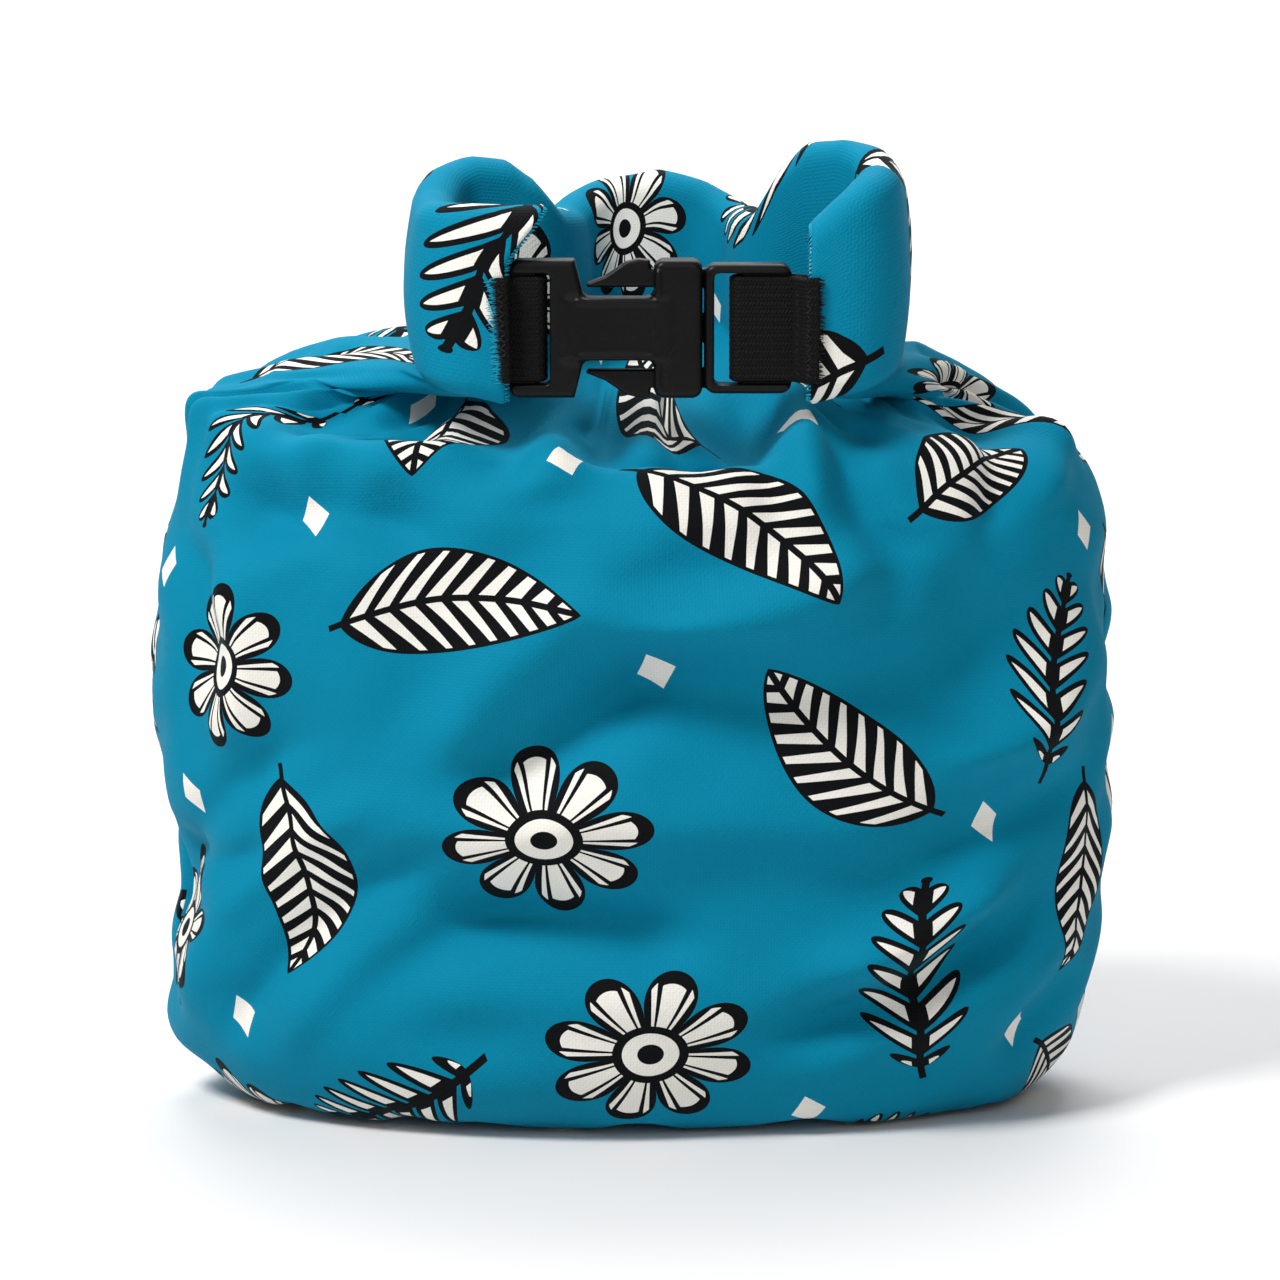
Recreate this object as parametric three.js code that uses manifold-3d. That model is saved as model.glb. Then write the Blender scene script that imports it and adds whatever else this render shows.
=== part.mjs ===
// Roll-top wet bag for cloth nappies: a stuffed fabric pouch whose mouth is rolled down, bent into an
// open ring and held shut in front by a side release buckle on two short webbing tabs.
// Millimetres. +X is to the right of someone facing the buckle, +Y runs away from them, +Z is up.
// The origin is the middle of the flat base that the bag stands on.
import * as THREE from "three";
import { mergeVertices } from "three/addons/utils/BufferGeometryUtils.js";
import Module from "manifold-3d";

const wasm = await Module();
wasm.setup();

// Driving dimensions of the cloth
const bodyWidth = 236; // across the stuffed pouch, seam to seam
const bodyDepth = 110; // front to back of the stuffed pouch
const shoulderHeight = 188; // floor to the top of the shoulders
const clothWall = 1.0; // outer cloth and its waterproof backing
const clothSlit = 0.4; // air between the two walls where they lie flat together
const plyGap = 0.6; // air between one turn of the roll and the next

// Driving dimensions of the rolled mouth
const mouthLength = 234; // along the roll, from side seam to side seam
const ringShift = 7; // the ring sits this far to the right of the pouch's middle
const ringBack = 35; // from the pouch's middle back to the roll's middle
const rollHeight = 48; // shoulders to the highest part of the roll
const rollPlump = 1.6; // the outer turns of the roll swell by this much

// Driving dimensions of the webbing
const webbingWidth = 25;
const webbingThickness = 1.4;
const webbingClearance = 0.35; // between webbing and whatever it touches
const webbingTuck = 6.5; // how far each tab runs into the end of the roll
const webbingRise = 6.7; // shoulders to the middle of the webbing and the buckle

const rad = (degrees) => (degrees * Math.PI) / 180;
const lerp = (a, b, t) => a + (b - a) * t;
const smooth = (t) => t * t * (3 - 2 * t);
const clamp01 = (t) => Math.min(1, Math.max(0, t));

// Reads one column of a table at x, in straight lines between the rows.
function readTable(rows, key, column, x) {
  let i = 1;
  while (i < rows.length - 1 && rows[i][key] < x) i++;
  const a = rows[i - 1];
  const b = rows[i];
  return lerp(a[column], b[column], clamp01((x - a[key]) / (b[key] - a[key])));
}

// Which way the roll runs, from its middle (share 0) to either end (share 1). Heading 0 runs across the
// bag, 90 runs forward and 180 points back towards the buckle.
const ringTurns = [
  { share: 0, heading: 0 },
  { share: 0.07, heading: 4 },
  { share: 0.17, heading: 46 },
  { share: 0.26, heading: 84 },
  { share: 0.34, heading: 66 },
  { share: 0.43, heading: 14 },
  { share: 0.53, heading: 20 },
  { share: 0.62, heading: 68 },
  { share: 0.71, heading: 92 },
  { share: 0.82, heading: 98 },
  { share: 0.89, heading: 144 },
  { share: 0.94, heading: 178 },
  { share: 1, heading: 180 },
];

// Middle line of a cross-section as it bends from straight (bend 0) to the ring (bend 1). The returned
// function takes s, from the left seam (-1) to the right seam (1), and gives the point and heading.
const lineSteps = 80;
function middleLine(bend, leftLength, rightLength) {
  const walk = (side, length) => {
    const half = [{ x: 0, y: 0, heading: 0 }];
    for (let i = 1; i <= lineSteps; i++) {
      const along = readTable(ringTurns, "share", "heading", (i - 0.5) / lineSteps);
      const turn = -side * bend * rad(along);
      const last = half[i - 1];
      half.push({
        x: last.x + (side * length * Math.cos(turn)) / lineSteps,
        y: last.y + (side * length * Math.sin(turn)) / lineSteps,
        heading: -side * bend * rad(readTable(ringTurns, "share", "heading", i / lineSteps)),
      });
    }
    return half;
  };
  const left = walk(-1, leftLength);
  const right = walk(1, rightLength);
  return (s) => {
    const half = s < 0 ? left : right;
    const at = Math.abs(s) * lineSteps;
    const i = Math.min(lineSteps - 1, Math.floor(at));
    const t = at - i;
    return {
      x: ringShift * bend + lerp(half[i].x, half[i + 1].x, t),
      y: ringBack * (1 - (1 - bend) * (1 - bend)) + lerp(half[i].y, half[i + 1].y, t),
      heading: lerp(half[i].heading, half[i + 1].heading, t),
    };
  };
}

// Cross-sections of the pouch from the floor up to the foot of the roll. Heights at the front, back and
// side seams are shares of shoulderHeight, half widths of bodyWidth / 2, half depths of bodyDepth / 2.
const pouchSections = [
  { front: 0, back: 0, endL: 0, endR: 0, left: 0.38, right: 0.38, fore: 0.36, aft: 0.36, bend: 0 },
  { front: 0, back: 0, endL: 0, endR: 0, left: 0.74, right: 0.76, fore: 0.74, aft: 0.74, bend: 0 },
  { front: 0.025, back: 0.025, endL: 0.03, endR: 0.03, left: 0.85, right: 0.87, fore: 0.86, aft: 0.86, bend: 0 },
  { front: 0.09, back: 0.09, endL: 0.1, endR: 0.1, left: 0.945, right: 0.93, fore: 0.96, aft: 0.96, bend: 0 },
  { front: 0.18, back: 0.18, endL: 0.19, endR: 0.19, left: 0.97, right: 0.98, fore: 1, aft: 0.99, bend: 0 },
  { front: 0.27, back: 0.27, endL: 0.27, endR: 0.27, left: 0.925, right: 0.98, fore: 0.985, aft: 1, bend: 0 },
  { front: 0.36, back: 0.36, endL: 0.36, endR: 0.36, left: 0.945, right: 1, fore: 0.965, aft: 1, bend: 0 },
  { front: 0.45, back: 0.45, endL: 0.45, endR: 0.45, left: 0.98, right: 1, fore: 0.975, aft: 0.99, bend: 0 },
  { front: 0.54, back: 0.54, endL: 0.54, endR: 0.54, left: 1, right: 1, fore: 1, aft: 0.97, bend: 0 },
  { front: 0.63, back: 0.63, endL: 0.63, endR: 0.62, left: 0.99, right: 1.01, fore: 1.01, aft: 0.96, bend: 0 },
  { front: 0.72, back: 0.72, endL: 0.71, endR: 0.7, left: 0.97, right: 1, fore: 1, aft: 0.95, bend: 0 },
  { front: 0.8, back: 0.81, endL: 0.79, endR: 0.765, left: 0.945, right: 0.975, fore: 0.97, aft: 0.93, bend: 0 },
  { front: 0.86, back: 0.885, endL: 0.86, endR: 0.83, left: 0.925, right: 0.93, fore: 0.93, aft: 0.91, bend: 0.01 },
  { front: 0.893, back: 0.94, endL: 0.92, endR: 0.885, left: 0.9, right: 0.86, fore: 0.9, aft: 0.88, bend: 0.03 },
  { front: 0.91, back: 0.97, endL: 0.93, endR: 0.91, left: 0.84, right: 0.76, fore: 0.88, aft: 0.8, bend: 0.08 },
  { front: 0.918, back: 0.985, endL: 0.935, endR: 0.92, left: 0.72, right: 0.63, fore: 0.88, aft: 0.64, bend: 0.2 },
  { front: 0.938, back: 0.992, endL: 0.939, endR: 0.93, left: 0.55, right: 0.52, fore: 0.6, aft: 0.44, bend: 0.42 },
  { front: 0.972, back: 1, endL: 0.942, endR: 0.938, left: 0.46, right: 0.46, fore: 0.5, aft: 0.2, bend: 0.72 },
  { front: 1.005, back: 1.005, endL: 0.945, endR: 0.945, left: 1, right: 1, fore: 0.1, aft: 0.1, bend: 1 },
];

// Hollows and swellings of the pouch's front (face -1) and back (face 1). Across and up are shares of
// bodyWidth / 2 and shoulderHeight, reach and width of bodyWidth, lean is degrees from upright
// towards +X and depth is a share of bodyDepth, inwards.
const dents = [
  { face: -1, across: 0.0, up: 0.6, reach: 0.2, width: 0.075, lean: 62, depth: 0.05 },
  { face: -1, across: -0.05, up: 0.8, reach: 0.2, width: 0.1, lean: 85, depth: -0.035 },
  { face: -1, across: 0.03, up: 0.93, reach: 0.11, width: 0.04, lean: 92, depth: 0.03 },
  { face: -1, across: 0.52, up: 0.62, reach: 0.14, width: 0.06, lean: 12, depth: 0.03 },
  { face: -1, across: -0.52, up: 0.72, reach: 0.12, width: 0.055, lean: -14, depth: 0.03 },
  { face: -1, across: 0.0, up: 0.34, reach: 0.34, width: 0.07, lean: 90, depth: -0.03 },
  { face: -1, across: -0.1, up: 0.2, reach: 0.2, width: 0.05, lean: 84, depth: 0.03 },
  { face: -1, across: -0.6, up: 0.28, reach: 0.18, width: 0.045, lean: 28, depth: 0.02 },
  { face: -1, across: 0.55, up: 0.12, reach: 0.16, width: 0.045, lean: 64, depth: 0.025 },
  { face: 1, across: 0.35, up: 0.72, reach: 0.16, width: 0.06, lean: 20, depth: 0.035 },
  { face: 1, across: -0.4, up: 0.6, reach: 0.18, width: 0.06, lean: -32, depth: 0.04 },
  { face: 1, across: 0.05, up: 0.35, reach: 0.26, width: 0.06, lean: 82, depth: 0.03 },
];

// Top and foot of the roll from its left end (s -1) to its right end (s 1): heights over the shoulders
// as shares of rollHeight.
const rollEdges = [
  { s: -1, top: 0.746, foot: -0.24 },
  { s: -0.9, top: 0.745, foot: -0.18 },
  { s: -0.8, top: 0.745, foot: -0.1 },
  { s: -0.7, top: 0.78, foot: -0.03 },
  { s: -0.62, top: 0.87, foot: 0.02 },
  { s: -0.54, top: 0.91, foot: 0.06 },
  { s: -0.46, top: 0.89, foot: 0.08 },
  { s: -0.41, top: 0.8, foot: 0.09 },
  { s: -0.36, top: 0.64, foot: 0.09 },
  { s: -0.25, top: 0.62, foot: 0.09 },
  { s: -0.12, top: 0.735, foot: 0.09 },
  { s: 0, top: 0.79, foot: 0.09 },
  { s: 0.1, top: 0.73, foot: 0.09 },
  { s: 0.2, top: 0.62, foot: 0.09 },
  { s: 0.36, top: 0.62, foot: 0.09 },
  { s: 0.41, top: 0.85, foot: 0.09 },
  { s: 0.46, top: 0.97, foot: 0.08 },
  { s: 0.54, top: 1, foot: 0.06 },
  { s: 0.62, top: 0.97, foot: 0.02 },
  { s: 0.7, top: 0.89, foot: -0.03 },
  { s: 0.77, top: 0.86, foot: -0.07 },
  { s: 0.84, top: 0.92, foot: -0.12 },
  { s: 0.9, top: 0.87, foot: -0.17 },
  { s: 1, top: 0.66, foot: -0.24 },
];

// The two walls lying flat together make one ply of the roll. Its turns keep plyGap between them, and
// near the ends the innermost turn opens up to take the two plies of a webbing tab.
const plyHalf = clothWall + clothSlit / 2;
const plyPitch = 2 * plyHalf + plyGap;
const tabPitch = 2 * plyHalf + 2 * webbingThickness + 2 * webbingClearance;

// Path of the ply's middle through the roll at s, as offsets out of the ring (e) and heights (z):
// up the inside, over the top, down the outside, under, up again and down into the core.
function rollPath(s) {
  const core = lerp(plyPitch, tabPitch, smooth(clamp01((Math.abs(s) - 0.82) / 0.1)));
  const inside = -plyPitch * 1.5;
  const outside = core + plyPitch * 0.5;
  const topRadius = (outside - inside) / 2;
  const footRadius = (outside + plyPitch / 2) / 2;
  const topCentre = shoulderHeight + rollHeight * readTable(rollEdges, "s", "top", s) - plyHalf - topRadius;
  const footCentre = shoulderHeight + rollHeight * readTable(rollEdges, "s", "foot", s) + plyHalf + footRadius;
  const middle = (topCentre + footCentre) / 2;
  const path = [{ e: inside - rollPlump / 2, z: middle }];
  const turn = (centreE, centreZ, radius, from, to, steps) => {
    for (let i = 0; i <= steps; i++) {
      const a = rad(lerp(from, to, i / steps));
      path.push({ e: centreE + radius * Math.cos(a), z: centreZ + radius * Math.sin(a) });
    }
  };
  turn(inside + topRadius, topCentre, topRadius, 180, 0, 4);
  path.push({ e: outside + rollPlump, z: middle });
  turn(outside - footRadius, footCentre, footRadius, 0, -180, 4);
  turn((core - plyPitch) / 2, topCentre, core / 2, 180, 0, 3);
  path.push({ e: core - plyPitch / 2, z: footCentre });
  return path;
}

// Columns run from the left seam over the front to the right seam and home over the back.
const halfColumns = [
  0.09, 0.15, 0.21, 0.27, 0.33, 0.375, 0.42, 0.475, 0.54, 0.6, 0.67, 0.76, 0.83, 0.875, 0.92, 0.985,
];
const wallColumns = [...halfColumns.map((s) => -s).reverse(), 0, ...halfColumns];
const columns = [
  { s: -1, face: 0 },
  ...wallColumns.map((s) => ({ s, face: -1 })),
  { s: 1, face: 0 },
  ...[...wallColumns].reverse().map((s) => ({ s, face: 1 })),
];

// How far the dents pull a point of the pouch inwards.
function dentDepth(face, x, z) {
  let depth = 0;
  for (const dent of dents) {
    if (dent.face !== face) continue;
    const dx = x - (dent.across * bodyWidth) / 2;
    const dz = z - dent.up * shoulderHeight;
    const lean = rad(dent.lean);
    const along = (dx * Math.sin(lean) + dz * Math.cos(lean)) / (dent.reach * bodyWidth);
    const aside = (dx * Math.cos(lean) - dz * Math.sin(lean)) / (dent.width * bodyWidth);
    depth += dent.depth * bodyDepth * Math.exp(-along * along - aside * aside);
  }
  return depth;
}

// One row of outer cloth around the pouch.
function pouchRow(section) {
  const { bend } = section;
  const leftLength = lerp((section.left * bodyWidth) / 2, mouthLength / 2, bend);
  const rightLength = lerp((section.right * bodyWidth) / 2, mouthLength / 2, bend);
  const line = middleLine(bend, leftLength, rightLength);
  const squareness = lerp(2.25, 20, Math.pow(bend, 4));
  const offset = -plyPitch * 1.5 * smooth(bend);
  return columns.map(({ s, face }) => {
    const spread = Math.sign(s) * lerp(Math.sin((Math.abs(s) * Math.PI) / 2), Math.abs(s), bend);
    const depthShare = face < 0 ? section.fore : section.aft;
    const depth = lerp((depthShare * bodyDepth) / 2, plyHalf, Math.pow(bend, 0.7));
    const fullness = Math.pow(Math.max(0, 1 - Math.pow(Math.abs(spread), squareness)), 1 / squareness);
    const towards = face < 0 ? section.front : section.back;
    const drop = lerp(1 - smooth(face === 0 ? 0 : fullness), Math.pow(Math.abs(s), 3), bend);
    const seamHeight = s < 0 ? section.endL : section.endR;
    const z = shoulderHeight * lerp(towards, seamHeight, drop);
    const at = line(spread);
    const dent = face === 0 ? 0 : dentDepth(face, at.x, z) * fullness * (1 - bend) * clamp01(z / 20);
    const out = offset + face * (depth * fullness - dent);
    return new THREE.Vector3(at.x - out * Math.sin(at.heading), at.y + out * Math.cos(at.heading), z);
  });
}

// The rows of outer cloth through the roll.
function rollRows() {
  const line = middleLine(1, mouthLength / 2, mouthLength / 2);
  const perColumn = columns.map(({ s, face }) => {
    const path = rollPath(s);
    const at = line(s);
    const cut = Math.pow(1 - Math.pow(Math.abs(s), 20), 1 / 20);
    return path.map((point, k) => {
      const before = path[Math.max(0, k - 1)];
      const after = path[Math.min(path.length - 1, k + 1)];
      const run = Math.hypot(after.e - before.e, after.z - before.z);
      const half = face * plyHalf * cut;
      const e = point.e + (half * (after.z - before.z)) / run;
      const z = point.z - (half * (after.e - before.e)) / run;
      return new THREE.Vector3(at.x - e * Math.sin(at.heading), at.y + e * Math.cos(at.heading), z);
    });
  });
  return perColumn[0].map((_, k) => perColumn.map((column) => column[k]));
}

const indexed = (positions, index) => {
  const geometry = new THREE.BufferGeometry();
  geometry.setAttribute("position", new THREE.Float32BufferAttribute(positions, 3));
  geometry.setIndex(index);
  return geometry;
};

// Closed shell: the outer rows, the same rows moved in by the wall and a rim joining the last of each.
function shellGeometry(rows, wall) {
  const count = columns.length;
  const outerCount = rows.length * count + 1;
  const positions = rows.flat().flatMap((point) => [point.x, point.y, point.z]);
  positions.push(0, 0, 0);
  const outerIndex = [];
  for (let i = 0; i < count; i++) {
    const j = (i + 1) % count;
    outerIndex.push(outerCount - 1, j, i);
    for (let k = 0; k + 1 < rows.length; k++) {
      const low = k * count;
      const high = low + count;
      outerIndex.push(low + i, low + j, high + j, low + i, high + j, high + i);
    }
  }
  const outer = indexed(positions, outerIndex);
  outer.computeVertexNormals();
  const normals = outer.getAttribute("normal").array;
  const inner = positions.map((value, i) => value - wall * normals[i]);
  const index = [...outerIndex];
  for (let t = 0; t < outerIndex.length; t += 3) {
    index.push(outerCount + outerIndex[t], outerCount + outerIndex[t + 2], outerCount + outerIndex[t + 1]);
  }
  const rim = (rows.length - 1) * count;
  for (let i = 0; i < count; i++) {
    const a = rim + i;
    const b = rim + ((i + 1) % count);
    index.push(a, b, outerCount + b, a, outerCount + b, outerCount + a);
  }
  return indexed([...positions, ...inner], index);
}

const bagRows = [...pouchSections.map(pouchRow), ...rollRows()];
const bagShell = shellGeometry(bagRows, clothWall);

// Middle plane of the buckle and the webbing: the core of the roll at its ends.
const mouthLine = middleLine(1, mouthLength / 2, mouthLength / 2);
const rollEndLeft = mouthLine(-1);
const rollEndRight = mouthLine(1);
const bucklePlane = rollEndLeft.y - (tabPitch - plyPitch) / 2;

// Driving dimensions of the buckle, measured from the joint between its two halves
const socketLength = 45.5; // joint to the far end of the webbing bar
const sleeveLength = 11.5;
const barEndLength = 17;
const buckleHeight = 32.6;
const buckleThickness = 9;
const barWidth = 6.4; // the socket's webbing bar
const barThickness = 3.6;
const slotWidth = 3.2;
const tongueHeight = 14.6;
const sleeveWall = 1.8;
const prongBaseLength = 21;
const prongBaseHeight = 30.6;
const prongThickness = 4.6;
const prongSlotWidth = 6.2;
const armReach = 27; // joint to the tips of the arms
const armRoot = 4.4; // height of an arm inside the sleeve
const guideHeight = 6.4;
const buckleClearance = 0.35;
const buckleShift = 10.5; // from the ring's middle to the joint
const jointX = ringShift + buckleShift;
const webbingHeight = shoulderHeight + webbingRise;

const solidFrom = (geometry) => {
  geometry.deleteAttribute("normal");
  geometry.deleteAttribute("uv");
  const merged = mergeVertices(geometry, 1e-4);
  const mesh = new wasm.Mesh({
    numProp: 3,
    vertProperties: new Float32Array(merged.getAttribute("position").array),
    triVerts: new Uint32Array(merged.getIndex().array),
  });
  return new wasm.Manifold(mesh);
};
const geometryFrom = (solid) => {
  const mesh = solid.getMesh();
  return indexed(mesh.vertProperties, Array.from(mesh.triVerts));
};

// Plate in the buckle's front view: x along the buckle from its joint, z up from its middle. The
// thickness runs along Y about the buckle's middle plane, with edges rounded off by round.
function plate(outline, thickness, round) {
  const shape = new THREE.Shape(outline.map(([x, z]) => new THREE.Vector2(x, z)));
  const geometry = new THREE.ExtrudeGeometry(shape, {
    depth: thickness - 2 * round,
    bevelEnabled: round > 0,
    bevelThickness: round,
    bevelSize: round,
    bevelOffset: -round,
    bevelSegments: 2,
    curveSegments: 6,
  });
  geometry.translate(0, 0, round - thickness / 2);
  geometry.rotateX(Math.PI / 2);
  geometry.translate(jointX, bucklePlane, webbingHeight);
  return solidFrom(geometry);
}

// Rounded rectangle as an outline.
function roundedBox(x0, z0, x1, z1, radius, steps = 3) {
  const points = [];
  const corners = [
    { x: x1 - radius, z: z0 + radius, from: -90 },
    { x: x1 - radius, z: z1 - radius, from: 0 },
    { x: x0 + radius, z: z1 - radius, from: 90 },
    { x: x0 + radius, z: z0 + radius, from: 180 },
  ];
  for (const corner of corners) {
    for (let i = 0; i <= steps; i++) {
      const a = rad(corner.from + (90 * i) / steps);
      points.push([corner.x + radius * Math.cos(a), corner.z + radius * Math.sin(a)]);
    }
  }
  return points;
}

// Socket: bar end, tongue and sleeve in one moulding. Its hollow takes the prong's guide and arms.
const half = buckleHeight / 2;
const barEndStart = -socketLength;
const tongueStart = barEndStart + barEndLength;
const slotStart = barEndStart + barWidth;
const slotHeight = webbingWidth + 2 * webbingClearance + 0.6;
const barEnd = plate(
  roundedBox(barEndStart, -half, tongueStart, half, 3.2),
  buckleThickness - 1.6,
  1.2
);
const socketSlot = plate(
  roundedBox(slotStart, -slotHeight / 2, slotStart + slotWidth, slotHeight / 2, 1.2),
  buckleThickness,
  0
);
const tongue = plate(
  roundedBox(tongueStart - 3, -tongueHeight / 2, -sleeveLength + 3, tongueHeight / 2, 1),
  buckleThickness - 0.6,
  0.9
);
const sleeve = plate(roundedBox(-sleeveLength, -half, 0, half, 2.6), buckleThickness, 1.4);
const barRelief = plate(
  roundedBox(barEndStart - 5, -slotHeight / 2, slotStart + 0.4, slotHeight / 2, 0.8),
  buckleThickness + 4,
  0
).subtract(
  plate(
    roundedBox(barEndStart, -slotHeight / 2 - 4, slotStart + 2, slotHeight / 2 + 4, 0.6),
    barThickness,
    0
  )
);
const hollowThickness = prongThickness - 0.6 + 2 * buckleClearance;
const armOuter = half - sleeveWall - 0.4;
const hollow = plate(
  [
    [-sleeveLength - 2, -armOuter - 0.4],
    [2, -armOuter - 0.4],
    [2, armOuter + 0.4],
    [-sleeveLength - 2, armOuter + 0.4],
  ],
  hollowThickness,
  0
).subtract(
  plate([[-sleeveLength - 4, -tongueHeight / 2], [-sleeveLength - 0.1, -tongueHeight / 2],
    [-sleeveLength - 0.1, tongueHeight / 2], [-sleeveLength - 4, tongueHeight / 2]], buckleThickness, 0)
);
const guideLength = 24;
const guideHollow = plate(
  roundedBox(
    -guideLength - buckleClearance,
    -guideHeight / 2 - buckleClearance,
    2,
    guideHeight / 2 + buckleClearance,
    0.8
  ),
  hollowThickness,
  0
);
const socket = barEnd
  .subtract(socketSlot)
  .add(tongue)
  .add(sleeve)
  .subtract(barRelief)
  .subtract(hollow)
  .subtract(guideHollow);

// Prong: a slotted base, a middle guide and two springy arms whose barbs stand proud in the windows.
const armInner = armOuter - armRoot;
const upperArm = [
  [0.5, armInner],
  [0.5, armOuter],
  [-sleeveLength - 0.6, armOuter],
  [-sleeveLength - 0.9, half - 0.2],
  [-sleeveLength - 3.5, half + 0.1],
  [-sleeveLength - 6.5, half - 0.7],
  [-armReach + 4, armOuter - 1.2],
  [-armReach, armInner + 1.3],
  [-armReach + 0.6, armInner],
];
const lowerArm = upperArm.map(([x, z]) => [x, -z]).reverse();
const baseStart = buckleClearance;
const prongBaseHalf = prongBaseHeight / 2;
const prongSlotStart = baseStart + 2.4;
const prongSlotEnd = prongSlotStart + prongSlotWidth;
const prongBase = plate(
  roundedBox(baseStart, -prongBaseHalf, prongBaseLength, prongBaseHalf, 2.6),
  buckleThickness - 1.6,
  1.2
);
const prongSlot = plate(
  roundedBox(prongSlotStart, -slotHeight / 2, prongSlotEnd, slotHeight / 2, 1),
  buckleThickness,
  0
);
const prongRelief = plate(
  roundedBox(prongSlotEnd - 0.4, -slotHeight / 2, prongBaseLength + 5, slotHeight / 2, 0.8),
  buckleThickness + 4,
  0
).subtract(
  plate(
    roundedBox(baseStart, -slotHeight / 2 - 4, prongBaseLength, slotHeight / 2 + 4, 0.6),
    barThickness,
    0
  )
);
const guide = plate(
  roundedBox(-guideLength, -guideHeight / 2, baseStart + 1.2, guideHeight / 2, 0.6),
  prongThickness - 0.6,
  0.4
);
const prong = prongBase
  .subtract(prongSlot)
  .subtract(prongRelief)
  .add(guide)
  .add(plate(upperArm, prongThickness - 0.6, 0.5))
  .add(plate(lowerArm, prongThickness - 0.6, 0.5));

// Webbing tab: one strip folded round a bar, its two plies closing together and running into the roll.
// Side is -1 for the left tab and 1 for the right one, and the bar spans barFrom to barTo outwards.
function webbingTab(side, barInner, barOuter, rollEnd) {
  const gap = barThickness / 2 + webbingClearance;
  const outer = gap + webbingThickness;
  const bow = barThickness / 4;
  const closeAt = Math.max(barOuter + 2 * webbingThickness, rollEnd - webbingThickness);
  const tail = rollEnd + webbingTuck;
  const outside = [];
  const inside = [];
  for (let i = 0; i <= 6; i++) {
    const a = rad(-90 + 30 * i);
    const bend = barInner - webbingClearance;
    outside.push([bend - (bow + webbingThickness) * Math.cos(a), outer * Math.sin(a)]);
    inside.push([bend - bow * Math.cos(a), gap * Math.sin(a)]);
  }
  outside.push([barOuter, outer], [closeAt, webbingThickness], [tail, webbingThickness]);
  outside.push([tail, -webbingThickness], [closeAt, -webbingThickness], [barOuter, -outer]);
  const shut = closeAt - 0.7 * webbingThickness;
  inside.push([barOuter + webbingClearance, gap], [shut, 0], [barOuter + webbingClearance, -gap]);
  const turned = (points) => {
    const flat = points.map(([x, y]) => new THREE.Vector2(side * x, y));
    return side > 0 ? flat.reverse() : flat;
  };
  const shape = new THREE.Shape(turned(outside));
  shape.holes.push(new THREE.Path(turned(inside)));
  const geometry = new THREE.ExtrudeGeometry(shape, { depth: webbingWidth, bevelEnabled: false });
  geometry.translate(jointX, bucklePlane, webbingHeight - webbingWidth / 2);
  return geometry;
}
const leftTab = webbingTab(-1, socketLength - barWidth, socketLength, jointX - rollEndLeft.x);
const rightTab = webbingTab(
  1,
  prongSlotEnd,
  prongBaseLength,
  rollEndRight.x - jointX
);

const cloth = new THREE.MeshStandardMaterial({ color: 0x017c9e, roughness: 0.85, metalness: 0 });
const band = new THREE.MeshStandardMaterial({ color: 0x161515, roughness: 0.9, metalness: 0 });
const plastic = new THREE.MeshStandardMaterial({ color: 0x181818, roughness: 0.45, metalness: 0 });

const group = new THREE.Group();
function place(name, geometry, material) {
  const mesh = new THREE.Mesh(geometry, material);
  mesh.name = name;
  group.add(mesh);
}
place("bag_shell", bagShell, cloth);
place("buckle_socket", geometryFrom(socket), plastic);
place("buckle_prong", geometryFrom(prong), plastic);
place("webbing_left", leftTab, band);
place("webbing_right", rightTab, band);

export default group;
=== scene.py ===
# Roll-top wet bag: printed cloth pouch, rolled ring, webbing tabs and side release buckle.
# Metres, in the CAD frame: +X right, +Y away from the buckle's side, +Z up, base at the origin.
from functools import partial
import bpy
import bmesh
import math
import numpy as np
from mathutils import Matrix, Vector


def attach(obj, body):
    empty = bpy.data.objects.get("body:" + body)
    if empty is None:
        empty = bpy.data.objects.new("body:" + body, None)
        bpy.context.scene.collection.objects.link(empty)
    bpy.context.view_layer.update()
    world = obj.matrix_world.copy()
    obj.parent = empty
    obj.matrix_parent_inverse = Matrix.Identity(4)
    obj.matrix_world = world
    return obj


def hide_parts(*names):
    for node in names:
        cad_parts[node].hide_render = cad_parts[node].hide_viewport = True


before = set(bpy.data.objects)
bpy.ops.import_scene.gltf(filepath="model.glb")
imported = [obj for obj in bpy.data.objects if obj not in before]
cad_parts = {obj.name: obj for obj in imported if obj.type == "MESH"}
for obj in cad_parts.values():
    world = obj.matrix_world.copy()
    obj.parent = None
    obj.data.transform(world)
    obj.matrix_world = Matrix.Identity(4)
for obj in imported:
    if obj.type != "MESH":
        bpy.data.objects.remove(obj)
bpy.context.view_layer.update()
mm = 0.001


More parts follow.
